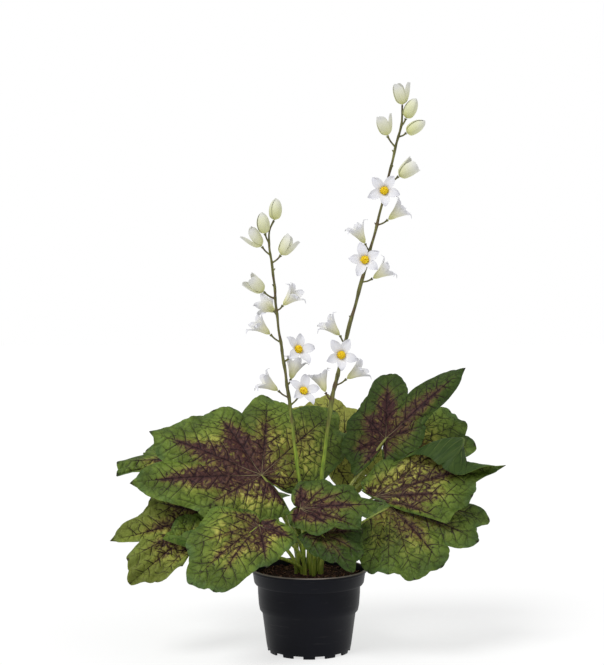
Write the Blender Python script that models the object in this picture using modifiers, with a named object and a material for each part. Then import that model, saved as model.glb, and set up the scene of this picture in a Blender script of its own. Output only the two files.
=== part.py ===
"""A potted heuchera with broad lobed leaves and two flower spikes, in a black nursery pot.

Metres, +Z up. The origin is on the pot's axis, at the surface that the pot stands on.
The tables of leaves, stems and blooms are in millimetres from that origin, with -Y to the front.
"""

import math

import bmesh
import bpy
import numpy as np
from mathutils import Vector

MM = 0.001
GAP = 0.3  # between touching pieces

# Pot: outer profile (radius, height) from the rim down to the foot
POT_STEPS = 32
POT_WALL = 1.3
POT_HEIGHT = 85.0
POT_PROFILE = [
    (60.0, 84.2),
    (60.0, 82.0),
    (58.8, 81.2),
    (57.2, 71.0),
    (56.0, 69.2),
    (53.4, 68.6),
    (53.2, 60.0),
    (52.3, 48.0),
    (51.2, 42.5),
    (48.6, 39.5),
    (44.2, 7.0),
    (42.8, 0.0),
]
WALL_BENDS = (81.2, 71.0, 68.6, 42.5, 39.5)  # heights where the inner wall turns
LIP_WIDTH = 1.8
LIP_EDGE = 0.8
FOOT_WIDTH = 1.8
FOOT_HEIGHT = 3.0
FLOOR_THICKNESS = 1.3
NOTCHES = 12
NOTCH_WIDTH = 10.5
DRAIN_HOLES = 4
DRAIN_RADIUS = 4.0
DRAIN_RING = 26.0

# Soil: top level, its hump in the middle, and the holes that the stalks stand in
SOIL_TOP = 78.0
SOIL_HUMP = 2.0
SOIL_LUMPS = 0.7
CROWN_RINGS = ((0.0, 1.0), (24.0, 0.8), (44.0, 0.2))  # radius, and share of the hump there
HOLE_DEPTH = 13.0
HOLE_ROOM = 0.5  # a hole's radius over its stalk's
STALK_FOOT = SOIL_TOP - HOLE_DEPTH + GAP
STALK_FREE = SOIL_TOP + 4.0  # up to here a stalk stands upright

# Leaves
BLADE_THICKNESS = 0.8
PETIOLE_RADIUS = 2.1
PETIOLE_TOP = 0.62  # of the radius, where the stalk meets the blade
SAMPLE_ANGLE = 15  # degrees of margin for two sides of a facet
WAVE = 0.022  # of a lobe's length, up and down at its margin
WAVES = 1.5  # for each lobe
BLADE_RINGS = (0.0, 0.36, 0.7, 1.0)
CURLED_RINGS = (0.0, 0.35, 0.6, 0.76, 0.88, 1.0)
CURL_START = 0.58
TIP_POINT = 0.035  # how far the pointed tip of a lobe stands out, as a share of its length
POINT_SPAN = 0.12  # how wide that point is, in lobes
LEAST_NOTCH = 0.1  # a shallower one doesn't set a lobe apart
SINUS = 0.86  # the notch that the stalk stands in
NOTCH_SHARPNESS = 1.7
SINUS_SHARPNESS = 1.1
PETIOLE_SAMPLES = 5
PETIOLE_RISE = 0.4  # how far up a stalk still climbs steeply, as a share of its height
VEIN_REACH = 0.16  # how far the stalk runs on under the main vein, as a share of it
VEIN_TIP = 0.3

# Each leaf: where its stalk meets the blade, where the stalk stands in the soil, the point that bends
# the stalk, the lobe tips turning left as seen on the upper face, and the notch after each of them
LEAVES = {
    "leaf_left_large": dict(
        seat=(-49, -14, 183), base=(-11, -3), bend=(-24, -9, 153), arch=0.05,
        tips=[(-19, 2, 162), (17, 14, 172), (44, 52, 212), (29, 70, 244), (-45, 58, 260), (-102, 36, 247),
              (-162, 4, 223), (-177, -24, 177), (-113, -34, 148), (-20, -21, 147)],
        notches=[0.02, 0.06, 0.05, 0.16, 0.16, 0.06, 0.17, 0.02, 0.05, SINUS]),
    "leaf_left_far": dict(
        seat=(-95, 62, 188), base=(-12, 9), bend=(-40, 40, 165), arch=0.05,
        tips=[(-60, 106, 204), (-118, 115, 211), (-181, 96, 201), (-202, 62, 189), (-201, 50, 178),
              (-170, 32, 176), (-127, 30, 176)],
        notches=[0.14, 0.14, 0.14, 0.02, 0.12, 0.12, SINUS]),
    "leaf_left_low": dict(
        seat=(-99, -4, 145), base=(-13, -9), bend=(-50, -8, 128), arch=-0.03,
        tips=[(-110, 14, 162), (-165, -6, 155), (-198, -34, 120), (-184, -48, 101), (-180, -54, 79),
              (-153, -52, 80), (-128, -44, 94)],
        notches=[0.08, 0.1, 0.22, 0.02, 0.02, 0.02, SINUS]),
    "leaf_left_folded": dict(
        seat=(-106, -28, 106), base=(-7, -11), bend=(-40, -26, 108), arch=0.0,
        tips=[(-106, -12, 144), (-135, -18, 139), (-148, -36, 120), (-127, -50, 128), (-100, -46, 136)],
        notches=[0.04, 0.06, 0.06, 0.04, SINUS]),
    "leaf_front_left": dict(
        seat=(-50, -52, 137), base=(-4, -15), bend=(-24, -38, 124), arch=0.08,
        tips=[(-70, -38, 152), (-102, -44, 150), (-119, -82, 119), (-114, -106, 88), (-91, -116, 84),
              (-42, -92, 105), (-13, -64, 123), (-31, -46, 142)],
        notches=[0.05, 0.08, 0.02, 0.02, 0.08, 0.1, 0.1, SINUS]),
    "leaf_front_middle": dict(
        seat=(-9, -38, 152), base=(2, -10), bend=(-12, -22, 138), arch=0.06,
        tips=[(-18, -46, 136), (24, -64, 136), (50, -66, 137), (69, -58, 158), (46, -44, 172),
              (22, -32, 177), (-8, -26, 177)],
        notches=[0.2, 0.02, 0.1, 0.08, 0.05, 0.06, SINUS]),
    "leaf_front_low": dict(
        seat=(11, -46, 129), base=(5, -16), bend=(8, -30, 118), arch=0.1,
        tips=[(-11, -50, 125), (0, -62, 112), (25, -76, 104), (41, -86, 97), (52, -68, 109),
              (51, -48, 129), (3, -38, 141)],
        notches=[0.06, 0.08, 0.05, 0.04, 0.1, 0.1, SINUS]),
    "leaf_right_upper": dict(
        seat=(82, 30, 217), base=(10, 4), bend=(48, 0, 176), arch=0.05,
        tips=[(80, 16, 192), (123, 28, 231), (166, 46, 287), (88, 76, 285), (53, 56, 246),
              (37, 26, 199), (48, 4, 180)],
        notches=[0.12, 0.24, 0.42, 0.08, 0.1, 0.12, SINUS]),
    "leaf_right_back": dict(
        seat=(82, 58, 189), base=(12, 11), bend=(40, 40, 160), arch=0.06,
        tips=[(141, 48, 174), (184, 68, 208), (174, 86, 230), (158, 94, 243), (132, 102, 249),
              (84, 112, 236)],
        notches=[0.1, 0.08, 0.01, 0.03, 0.14, SINUS]),
    "leaf_right_middle": dict(
        seat=(68, -5, 159), base=(13, -3), bend=(36, -8, 140), arch=0.06,
        curl={4: 215}, curl_to=(-0.1, -0.93, -0.35),
        tips=[(80, -14, 154), (142, -44, 139), (167, -30, 163), (196, -10, 193), (200, 30, 243),
              (90, 10, 196), (56, 5, 174), (55, -4, 165)],
        notches=[0.1, 0.06, 0.1, 0.1, 0.05, 0.08, 0.05, SINUS]),
    "leaf_right_low": dict(
        seat=(85, -10, 150), base=(11, -10), bend=(46, -16, 130), arch=0.07,
        tips=[(49, -33, 132), (58, -54, 90), (78, -64, 90), (104, -68, 84), (133, -60, 98),
              (170, -40, 118), (188, -8, 138), (140, 10, 160)],
        notches=[0.04, 0.04, 0.08, 0.03, 0.2, 0.1, 0.1, SINUS]),
    "leaf_back_middle": dict(
        seat=(18, 84, 200), base=(3, 13), bend=(8, 46, 168), arch=0.07,
        tips=[(52, 78, 150), (84, 92, 190), (66, 104, 238), (22, 112, 258), (-34, 104, 236),
              (-42, 92, 194), (-24, 82, 156)],
        notches=[0.16, 0.16, 0.14, 0.14, 0.16, 0.16, SINUS]),
    "leaf_back_left": dict(
        seat=(-54, 66, 152), base=(-5, 10), bend=(-26, 42, 144), arch=0.1,
        tips=[(-22, 112, 144), (-74, 116, 120), (-122, 106, 128), (-150, 70, 142), (-112, 40, 136)],
        notches=[0.16, 0.16, 0.2, 0.16, SINUS]),
    "leaf_back_right": dict(
        seat=(62, 62, 146), base=(7, 16), bend=(30, 40, 136), arch=0.1,
        tips=[(128, 34, 134), (150, 72, 140), (118, 112, 126), (66, 116, 120), (24, 102, 138)],
        notches=[0.16, 0.2, 0.16, 0.16, SINUS]),
    "leaf_back_low": dict(
        seat=(2, 62, 122), base=(-1, 18), bend=(1, 38, 116), arch=0.1,
        tips=[(38, 54, 112), (40, 94, 98), (0, 117, 86), (-44, 96, 98), (-34, 54, 114)],
        notches=[0.14, 0.16, 0.16, 0.14, SINUS]),
}

# Flower stems: routes up from the soil, and the radius at the foot, half way and the top
STEM_SAMPLES = 18
STEMS = {
    "stem_left": dict(
        radii=(2.1, 1.5, 0.9), base=(-5, -4),
        route=[(-6, -8, 118), (-9, -12, 168), (-14, -12, 206), (-20, -11, 256), (-26, -10, 298),
               (-33, -10, 346), (-37, -10, 390), (-41, -10, 420), (-41, -10, 436), (-36, -10, 446)]),
    "stem_right": dict(
        radii=(2.3, 1.7, 1.0), base=(6, -3),
        route=[(7, -6, 118), (12, -8, 170), (17, -8, 212), (24, -7, 262), (32, -6, 296),
               (38, -6, 322), (50, -6, 366), (57, -6, 392), (70, -6, 440), (82, -6, 489),
               (89, -6, 519), (96, -6, 548), (97, -6, 566)]),
}
PEDICEL_RADIUS = 0.75
PEDICEL_FLARE = 1.2  # its radius at the bloom, over that
PEDICEL_BEND = 0.55  # where along it a side stalk sags
PEDICEL_SAG = 1.0

# Each bloom: its kind, the foot and the tip of its side stalk, and where the flower faces
BLOOMS = {
    "bloom_left_01": ("bud", None, (-36, -10, 446.3), (0.1, -0.1, 1)),
    "bloom_left_02": ("bud", (-42, -10, 424), (-45.5, -14, 432), (-0.15, -0.35, 1)),
    "bloom_left_03": ("parting", (-40, -10, 411), (-49, -11, 419), (-0.7, -0.1, 0.7)),
    "bloom_left_04": ("parting", (-38, -10, 400), (-29, -12, 410), (0.55, -0.1, 0.8)),
    "bloom_left_05": ("parting", (-35, -10, 364), (-47, -12, 372), (-0.75, -0.2, 0.65)),
    "bloom_left_06": ("trumpet", (-34, -10, 353), (-27, -13, 358), (0.75, -0.35, 0.7)),
    "bloom_left_07": ("trumpet", (-33, -10, 348), (-36, 0, 352), (-0.5, 0.75, 0.35)),
    "bloom_left_08": ("trumpet", (-30, -10, 321), (-40, -12, 328), (-0.75, -0.25, 0.6)),
    "bloom_left_09": ("open", (-26, -10, 298), (-15, -14, 309), (0.5, -0.85, 0.45)),
    "bloom_left_10": ("trumpet", (-24, -10, 276), (-19, -3, 281), (0.25, 0.4, 0.9)),
    "bloom_left_11": ("trumpet", (-21, -10, 262), (-32, -12, 270), (-0.8, -0.2, 0.55)),
    "bloom_left_12": ("open", (-20, -11, 256), (-9, -16, 266), (0.4, -0.85, 0.5)),
    "bloom_right_01": ("parting", None, (97, -6, 566.3), (-0.1, -0.15, 1)),
    "bloom_right_02": ("bud", (95, -6, 545), (100.5, -8, 552), (0.45, -0.1, 0.9)),
    "bloom_right_03": ("bud", (92, -6, 531), (101, -8, 537), (0.85, -0.15, 0.5)),
    "bloom_right_04": ("parting", (89, -6, 520), (81, -8, 534), (-0.25, -0.2, 1)),
    "bloom_right_05": ("parting", (83, -6, 484), (93, -8, 492), (0.8, -0.1, 0.6)),
    "bloom_right_06": ("open", (79, -6, 478), (77.5, -13, 475), (-0.05, -1, 0.05)),
    "bloom_right_07": ("trumpet", (70, -6, 440), (82, -8, 447), (0.75, -0.1, 0.6)),
    "bloom_right_08": ("trumpet", (63, -6, 414), (58, -9, 422), (-0.5, -0.2, 0.85)),
    "bloom_right_09": ("open", (60, -6, 404), (58, -14, 404), (-0.1, -1, 0.05)),
    "bloom_right_10": ("trumpet", (55, -6, 381), (66, -8, 386), (0.8, -0.15, 0.55)),
    "bloom_right_11": ("trumpet", (38, -6, 320), (32, -8, 327), (-0.7, -0.2, 0.7)),
    "bloom_right_12": ("open", (34, -6, 305), (32.5, -14, 306), (0.05, -1, 0.1)),
    "bloom_right_13": ("trumpet", (27, -6, 272), (39, -8, 282), (0.8, -0.2, 0.55)),
    "bloom_right_14": ("trumpet", (23, -7, 258), (17, -8, 268), (-0.35, 0.1, 0.95)),
}

# Bloom kinds: petals, how deep the gaps between them reach, how broad the petals stay towards their
# tips, and (radius, height) from the base to a petal's tip
BLOOM_THICKNESS = 0.7
BUD_SIZE = (6.6, 21.5)  # radius and length
BUD_PETALS = 5
BUD_GROOVE = 0.09  # how deep the grooves between its petals are, as a share of the radius
BUD_TAPER = 0.18
BLOOM_KINDS = {
    "trumpet": dict(
        petals=5, gap=0.5, width=2.2, profile=[(0, 0), (2.2, 3.5), (4.8, 12), (9, 19), (15, 22.5)]),
    "open": dict(
        petals=5, gap=0.55, width=2.0, profile=[(0, 0), (2.2, 3), (4.6, 9), (10, 11.5), (18, 11)]),
    "parting": dict(
        petals=3, gap=0.2, width=3.5, profile=[(0, 0), (5.2, 2.5), (8.6, 9), (9.4, 15), (8, 21)]),
}
BLOOM_RINGS = (0.0, 0.42, 1.0)
PARTING_RINGS = (0.0, 0.25, 0.62, 1.0)
PETAL_SAMPLES = (0.0, 0.27, 0.5, 0.73)
BROAD_SAMPLES = (0.0, 0.25, 0.5, 0.75)
STAMEN_PROFILE = [(0.8, 3.2), (2.3, 7.8), (3.5, 9.8), (3.0, 12.0), (1.2, 13.2)]

# Colours as the photo shows them: red, green and blue in linear light
COLOURS = {
    "pot": ((0.011, 0.011, 0.014, 1), 0.42),
    "soil": ((0.045, 0.016, 0.008, 1), 0.95),
    "leaf": ((0.16, 0.24, 0.05, 1), 0.5),
    "stem": ((0.12, 0.17, 0.03, 1), 0.55),
    "petal": ((0.83, 0.84, 0.78, 1), 0.6),
    "bud": ((0.74, 0.78, 0.52, 1), 0.6),
    "stamen": ((0.85, 0.5, 0.02, 1), 0.65),
}


def clear_scene():
    for leftover in list(bpy.data.objects):
        bpy.data.objects.remove(leftover, do_unlink=True)


def new_collection(name, hidden=False):
    collection = bpy.data.collections.new(name)
    collection.hide_render = hidden
    bpy.context.scene.collection.children.link(collection)
    return collection


def make_material(name):
    colour, roughness = COLOURS[name]
    material = bpy.data.materials.new(name)
    material.use_nodes = True
    material.diffuse_color = colour
    shader = material.node_tree.nodes["Principled BSDF"]
    shader.inputs["Base Color"].default_value = colour
    shader.inputs["Roughness"].default_value = roughness
    return material


def link_mesh(name, mesh, collection, material=None):
    piece = bpy.data.objects.new(name, mesh)
    collection.objects.link(piece)
    if material:
        mesh.materials.append(material)
    return piece


def evaluated_mesh(piece):
    """The piece's mesh with its modifiers applied and doubled points welded."""
    graph = bpy.context.evaluated_depsgraph_get()
    mesh = bpy.data.meshes.new_from_object(piece.evaluated_get(graph))
    bm = bmesh.new()
    bm.from_mesh(mesh)
    bmesh.ops.remove_doubles(bm, verts=bm.verts, dist=0.01 * MM)
    bm.to_mesh(mesh)
    bm.free()
    return mesh


def apply_modifiers(piece):
    mesh = evaluated_mesh(piece)
    piece.modifiers.clear()
    piece.data = mesh
    return piece


def boolean(piece, others, operation, solver="EXACT"):
    """Joins or cuts the piece by the other objects, which are then removed."""
    helpers = new_collection(piece.name + "_helpers", hidden=True)
    for other in others:
        for owner in list(other.users_collection):
            owner.objects.unlink(other)
        helpers.objects.link(other)
        other.hide_render = True
        other.display_type = "WIRE"
    modifier = piece.modifiers.new(operation.lower(), "BOOLEAN")
    modifier.operation = operation
    modifier.solver = solver
    modifier.operand_type = "COLLECTION"
    modifier.collection = helpers
    bpy.context.view_layer.update()
    apply_modifiers(piece)
    for other in others:
        bpy.data.objects.remove(other, do_unlink=True)
    bpy.data.collections.remove(helpers)
    return piece


def smooth(piece, degrees=40):
    piece.data.shade_smooth()
    piece.data.set_sharp_from_angle(angle=math.radians(degrees))


def turned(name, profile, steps, collection, material):
    """A closed ring or solid of revolution; the profile runs down its outer side."""
    bm = bmesh.new()
    corners = [bm.verts.new((radius * MM, 0, height * MM)) for radius, height in profile]
    for start, end in zip(corners, corners[1:]):
        bm.edges.new((start, end))
    mesh = bpy.data.meshes.new(name)
    bm.to_mesh(mesh)
    bm.free()
    piece = link_mesh(name, mesh, collection, material)
    screw = piece.modifiers.new("screw", "SCREW")
    screw.steps = steps
    screw.render_steps = steps
    screw.use_merge_vertices = True
    screw.merge_threshold = 0.01 * MM
    screw.use_smooth_shade = False
    return apply_modifiers(piece)


def tube(name, points, radii, resolution, collection, material=None):
    """A round tube through points in millimetres, with a radius at each point."""
    curve = bpy.data.curves.new(name, "CURVE")
    curve.dimensions = "3D"
    curve.bevel_depth = MM
    curve.bevel_resolution = resolution
    curve.use_fill_caps = True
    spline = curve.splines.new("POLY")
    spline.points.add(len(points) - 1)
    for corner, place, radius in zip(spline.points, points, radii):
        corner.co = (*(Vector(place) * MM), 1)
        corner.radius = radius
    route = bpy.data.objects.new(name + "_route", curve)
    collection.objects.link(route)
    bpy.context.view_layer.update()
    mesh = evaluated_mesh(route)
    bpy.data.objects.remove(route, do_unlink=True)
    return link_mesh(name, mesh, collection, material)


def block(name, size, centre, turn, collection):
    """A box cutter, turned about the pot's axis."""
    bm = bmesh.new()
    bmesh.ops.create_cube(bm, size=1)
    mesh = bpy.data.meshes.new(name)
    bm.to_mesh(mesh)
    bm.free()
    for vertex in mesh.vertices:
        corner = Vector(vertex.co[axis] * size[axis] + centre[axis] for axis in range(3)) * MM
        corner.rotate(Vector((1, 0, 0)).rotation_difference(Vector((math.cos(turn), math.sin(turn), 0))))
        vertex.co = corner
    return link_mesh(name, mesh, collection)


def peg(name, radius, low, high, centre, sides, collection):
    """An upright round cutter between two heights."""
    bm = bmesh.new()
    bmesh.ops.create_cone(
        bm, segments=sides, radius1=radius * MM, radius2=radius * MM, depth=(high - low) * MM, cap_ends=True)
    bmesh.ops.translate(bm, verts=bm.verts, vec=Vector((*centre, (low + high) / 2)) * MM)
    mesh = bpy.data.meshes.new(name)
    bm.to_mesh(mesh)
    bm.free()
    return link_mesh(name, mesh, collection)


def inner_wall(top, bottom):
    """The pot's inside, as (radius, height) from one height down to another."""
    heights = [height for radius, height in reversed(POT_PROFILE)]
    radii = [radius for radius, height in reversed(POT_PROFILE)]
    inside = [height for height in WALL_BENDS if bottom < height < top]
    return [
        (float(np.interp(height, heights, radii)) - POT_WALL, height)
        for height in [top, *inside, bottom]
    ]


def make_pot(collection, cutters, material):
    floor_top = FOOT_HEIGHT + FLOOR_THICKNESS
    wall = inner_wall(POT_HEIGHT, floor_top)
    wall[0] = (POT_PROFILE[0][0] - LIP_WIDTH, POT_HEIGHT)
    lip = [(0, floor_top), *reversed(wall), (POT_PROFILE[0][0] - LIP_EDGE, POT_HEIGHT)]
    foot_inner = POT_PROFILE[-1][0] - FOOT_WIDTH
    under = [(foot_inner, 0), (foot_inner, FOOT_HEIGHT), (0, FOOT_HEIGHT)]
    pot = turned("pot", [*lip, *POT_PROFILE, *under], POT_STEPS, collection, material)
    cuts = []
    for index in range(NOTCHES):
        turn = 2 * math.pi * (index + 0.5) / NOTCHES
        cuts.append(block(f"notch_{index}", (8, NOTCH_WIDTH, 2 * FOOT_HEIGHT - GAP),
                          (foot_inner + 1, 0, 0), turn, cutters))
    for index in range(DRAIN_HOLES):
        turn = 2 * math.pi * (index + 0.5) / DRAIN_HOLES
        place = (DRAIN_RING * math.cos(turn), DRAIN_RING * math.sin(turn))
        cuts.append(peg(f"drain_{index}", DRAIN_RADIUS, 1, floor_top + 2, place, 8, cutters))
    boolean(pot, cuts, "DIFFERENCE")
    smooth(pot)
    return pot


def stalk_places():
    """Where each stalk stands in the soil, with its radius."""
    places = [(leaf["base"], PETIOLE_RADIUS) for leaf in LEAVES.values()]
    places += [(stem["base"], stem["radii"][0]) for stem in STEMS.values()]
    return places


def make_soil(collection, cutters, material):
    floor = FOOT_HEIGHT + FLOOR_THICKNESS + GAP
    wall = [(radius - GAP, height) for radius, height in inner_wall(SOIL_TOP, floor)]
    crown = [(radius, SOIL_TOP + SOIL_HUMP * share) for radius, share in CROWN_RINGS]
    soil = turned("soil", [*crown, *wall, (0, floor)], POT_STEPS, collection, material)
    for vertex in soil.data.vertices:
        x, y, z = vertex.co / MM
        if z > SOIL_TOP + 0.1:
            vertex.co.z += SOIL_LUMPS * MM * math.sin(0.31 * x + 1.3) * math.cos(0.27 * y - 0.6)
    holes = [
        peg(f"hole_{index}", radius + HOLE_ROOM, SOIL_TOP - HOLE_DEPTH, SOIL_TOP + 9, base, 6, cutters)
        for index, (base, radius) in enumerate(stalk_places())
    ]
    boolean(soil, holes, "DIFFERENCE")
    smooth(soil, 60)
    return soil


def blend(start, end, share):
    return start * (1 - share) + end * share


def turn_between(start, end, share):
    """A unit direction between two directions, at this share of the angle."""
    angle = start.angle(end)
    mixed = start.normalized() * math.sin((1 - share) * angle) + end.normalized() * math.sin(share * angle)
    return mixed.normalized()


class Blade:
    """A lobed leaf blade, as a surface of two numbers: the turn, in lobes, and the reach from 0 to 1."""

    def __init__(self, leaf):
        self.seat = Vector(leaf["seat"])
        self.veins = [Vector(tip) - self.seat for tip in leaf["tips"]]
        self.count = len(self.veins)
        self.notches = leaf["notches"]
        self.arch = leaf["arch"]
        self.curl = leaf.get("curl", {})
        self.curl_to = Vector(leaf.get("curl_to", (0, -1, 0))).normalized()
        self.phase = sum(leaf["seat"])
        self.sectors = [self.vein(i).cross(self.vein(i + 1)).normalized() for i in range(self.count)]
        face = sum((self.sectors[i] for i in range(self.count - 1)), Vector())
        if self.sectors[-1].dot(face) < 0:
            self.sectors[-1] = face.normalized()

    def vein(self, index):
        return self.veins[index % self.count]

    def facing(self, index, share):
        """The direction that the upper face looks in."""
        before = self.sectors[(index - 1) % self.count]
        here = self.sectors[index % self.count]
        after = self.sectors[(index + 1) % self.count]
        at_start = (before + here).normalized()
        at_end = (here + after).normalized()
        mixed = at_start * (1 - share) ** 2 + here * (2 * share * (1 - share)) + at_end * share ** 2
        return mixed.normalized()

    def point(self, index):
        """How far this lobe's tip stands out: only a lobe with a notch beside it is pointed."""
        beside = max(self.notches[(index - 1) % self.count], self.notches[index % self.count])
        return TIP_POINT if beside >= LEAST_NOTCH else 0.0

    def length(self, index, share):
        """From the seat to the margin, shorter in the notch between two lobes."""
        depth = self.notches[index % self.count]
        sharp = SINUS_SHARPNESS if depth == SINUS else NOTCH_SHARPNESS
        fall = depth * (1 - abs(2 * share - 1)) ** sharp
        point = max(self.point(index) * (1 - share / POINT_SPAN),
                    self.point(index + 1) * (1 - (1 - share) / POINT_SPAN), 0.0)
        eased = share * share * (3 - 2 * share)
        plain = blend(self.vein(index).length, self.vein(index + 1).length, eased)
        return plain * (1 - fall + point)

    def turns(self):
        """The turns to draw: two, four or six between one main vein and the next."""
        turns = []
        for index in range(self.count):
            angle = math.degrees(self.vein(index).angle(self.vein(index + 1)))
            samples = 2 * min(max(round(angle / SAMPLE_ANGLE), 1), 3)
            turns += [index + step / samples for step in range(samples)]
        return turns

    def place(self, turn, reach):
        index = int(turn)
        share = turn - index
        facing = self.facing(index, share)
        along = turn_between(self.vein(index), self.vein(index + 1), share)
        length = self.length(index, share)
        rise = self.arch * length * 4 * reach * (1 - reach)
        wave = WAVE * length * math.sin(2 * math.pi * turn * WAVES + self.phase) * reach ** 3
        curl = blend(
            self.curl.get(index % self.count, 0.0), self.curl.get((index + 1) % self.count, 0.0), share)
        point = self.seat + facing * (rise + wave)
        if curl < 1 or reach <= CURL_START:
            return point + along * (length * reach)
        bend = math.radians(curl) * (reach - CURL_START) / (1 - CURL_START)
        radius = length * (1 - CURL_START) / math.radians(curl)
        forward = length * CURL_START + radius * math.sin(bend)
        return point + along * forward + self.curl_to * (radius * (1 - math.cos(bend)))


def wrapped_sheet(name, turns, rings, place, thickness, collection, material):
    """A grid of turns and rings, wrapped round its middle by a formula and given its thickness."""
    bm = bmesh.new()
    columns = len(turns)
    bmesh.ops.create_grid(bm, x_segments=columns, y_segments=len(rings) - 1, size=0.5)
    for vertex in bm.verts:
        column = round((vertex.co.x + 0.5) * columns) % columns
        ring = round((vertex.co.y + 0.5) * (len(rings) - 1))
        vertex.co = place(turns[column], rings[ring]) * MM
    bmesh.ops.remove_doubles(bm, verts=bm.verts, dist=0.001 * MM)
    bmesh.ops.triangulate(bm, faces=bm.faces, quad_method="FIXED")
    mesh = bpy.data.meshes.new(name)
    bm.to_mesh(mesh)
    bm.free()
    sheet = link_mesh(name, mesh, collection, material)
    solidify = sheet.modifiers.new("solidify", "SOLIDIFY")
    solidify.thickness = thickness * MM
    solidify.offset = 0
    return apply_modifiers(sheet)


def bezier(points, share):
    """A point on the curve that these four points shape."""
    a, b, c, d = (Vector(point) for point in points)
    rest = 1 - share
    return a * rest ** 3 + b * (3 * rest ** 2 * share) + c * (3 * rest * share ** 2) + d * share ** 3


def petiole_route(leaf, blade):
    """Up out of its hole, bending over to the blade, and a little way along its main vein."""
    x, y = leaf["base"]
    seat = blade.seat
    rise = (seat.z - SOIL_TOP) * PETIOLE_RISE
    shape = [(x, y, STALK_FREE), (x, y, STALK_FREE + rise), leaf["bend"], seat]
    main = max(range(1, blade.count - 1), key=lambda index: blade.vein(index).length)
    route = [Vector((x, y, STALK_FOOT))]
    route += [bezier(shape, step / PETIOLE_SAMPLES) for step in range(PETIOLE_SAMPLES + 1)]
    radii = np.linspace(PETIOLE_RADIUS, PETIOLE_RADIUS * PETIOLE_TOP, len(route)).tolist()
    route.append(blade.place(main, VEIN_REACH))
    radii.append(VEIN_TIP)
    return route, radii


def make_leaf(name, leaf, collection, material):
    blade = Blade(leaf)
    rings = CURLED_RINGS if blade.curl else BLADE_RINGS
    sheet = wrapped_sheet(
        name, blade.turns(), rings, blade.place, BLADE_THICKNESS, collection, material)
    route, radii = petiole_route(leaf, blade)
    stalk = tube(name + "_stalk", route, radii, 1, collection)
    boolean(sheet, [stalk], "UNION", "MANIFOLD")  # EXACT drops some of the waved blades
    smooth(sheet)
    return sheet


def smooth_route(points, samples):
    """Points along a smooth curve through the given ones, evenly spaced along it."""
    corners = np.array(points, float)
    legs = np.linalg.norm(np.diff(corners, axis=0), axis=1)
    places = np.concatenate([[0], np.cumsum(legs)])
    slopes = np.gradient(corners, places, axis=0)
    route = []
    for place in np.linspace(0, places[-1], samples):
        leg = min(int(np.searchsorted(places, place, side="right")) - 1, len(legs) - 1)
        t = (place - places[leg]) / legs[leg]
        start, end = corners[leg], corners[leg + 1]
        pull_start, pull_end = slopes[leg] * legs[leg], slopes[leg + 1] * legs[leg]
        route.append(Vector(
            start * (2 * t ** 3 - 3 * t ** 2 + 1) + pull_start * (t ** 3 - 2 * t ** 2 + t)
            + end * (3 * t ** 2 - 2 * t ** 3) + pull_end * (t ** 3 - t ** 2)))
    return route


def stem_route(stem):
    x, y = stem["base"]
    route = smooth_route([(x, y, STALK_FREE), *stem["route"]], STEM_SAMPLES)
    route.insert(0, Vector((x, y, STALK_FOOT)))
    radii = np.interp(np.linspace(0, 1, len(route)), [0, 0.5, 1], stem["radii"])
    return route, radii.tolist()


def nearest_on(route, place):
    return min(route, key=lambda point: (point - Vector(place)).length)


def on_route(route, place):
    """The point of the route nearest to a place, between its own points too."""
    fine = [blend(a, b, step / 10) for a, b in zip(route, route[1:]) for step in range(10)]
    return nearest_on(fine, place)


def make_stem(name, stem, collection, material):
    route, radii = stem_route(stem)
    spike = tube(name, route, radii, 1, collection, material)
    side = name.split("_")[1]
    stalks = []
    for bloom, (kind, foot, tip, facing) in BLOOMS.items():
        if side not in bloom or foot is None:
            continue
        root = on_route(route, foot)
        end = Vector(tip) - Vector(facing).normalized() * GAP
        middle = blend(root, end, PEDICEL_BEND) - Vector((0, 0, PEDICEL_SAG))
        thick = [PEDICEL_RADIUS, PEDICEL_RADIUS, PEDICEL_RADIUS * PEDICEL_FLARE]
        stalks.append(tube(bloom + "_stalk", [root, middle, end], thick, 1, collection))
    boolean(spike, stalks, "UNION")
    smooth(spike)
    return spike


def facing_turn(facing):
    return Vector((0, 0, 1)).rotation_difference(Vector(facing).normalized())


def along_profile(profile, share):
    """(radius, height) at this share of a profile's length."""
    corners = np.array(profile, float)
    places = np.concatenate([[0], np.cumsum(np.linalg.norm(np.diff(corners, axis=0), axis=1))])
    place = share * places[-1]
    return float(np.interp(place, places, corners[:, 0])), float(np.interp(place, places, corners[:, 1]))


def bloom_place(kind, tip, facing):
    """The formula for an opened flower, standing on its stalk's tip."""
    shape = BLOOM_KINDS[kind]
    turned_to = facing_turn(facing)
    base = Vector(tip) + Vector(facing).normalized() * (BLOOM_THICKNESS / 2)

    def place(turn, reach):
        from_petal = abs((turn + 0.5) % 1 - 0.5) * 2
        edge = 1 - shape["gap"] * from_petal ** shape["width"]
        radius, height = along_profile(shape["profile"], reach * edge)
        angle = 2 * math.pi * turn / shape["petals"]
        point = Vector((radius * math.cos(angle), radius * math.sin(angle), height))
        point.rotate(turned_to)
        return base + point

    return place


def make_bud(name, tip, facing, collection, material):
    """A closed bud: an egg with shallow grooves where its petals meet."""
    radius, length = BUD_SIZE
    bm = bmesh.new()
    bmesh.ops.create_uvsphere(bm, u_segments=2 * BUD_PETALS, v_segments=7, radius=1)
    turned_to = facing_turn(facing)
    for vertex in bm.verts:
        x, y, z = vertex.co
        groove = 1 - BUD_GROOVE * math.cos(BUD_PETALS * math.atan2(y, x))
        swell = radius * groove * (1 - BUD_TAPER * z)
        point = Vector((x * swell, y * swell, (z + 1) * length / 2))
        point.rotate(turned_to)
        vertex.co = (Vector(tip) + point) * MM
    bmesh.ops.triangulate(bm, faces=bm.faces)
    mesh = bpy.data.meshes.new(name)
    bm.to_mesh(mesh)
    bm.free()
    bud = link_mesh(name, mesh, collection, material)
    smooth(bud, 60)
    return bud


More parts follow.
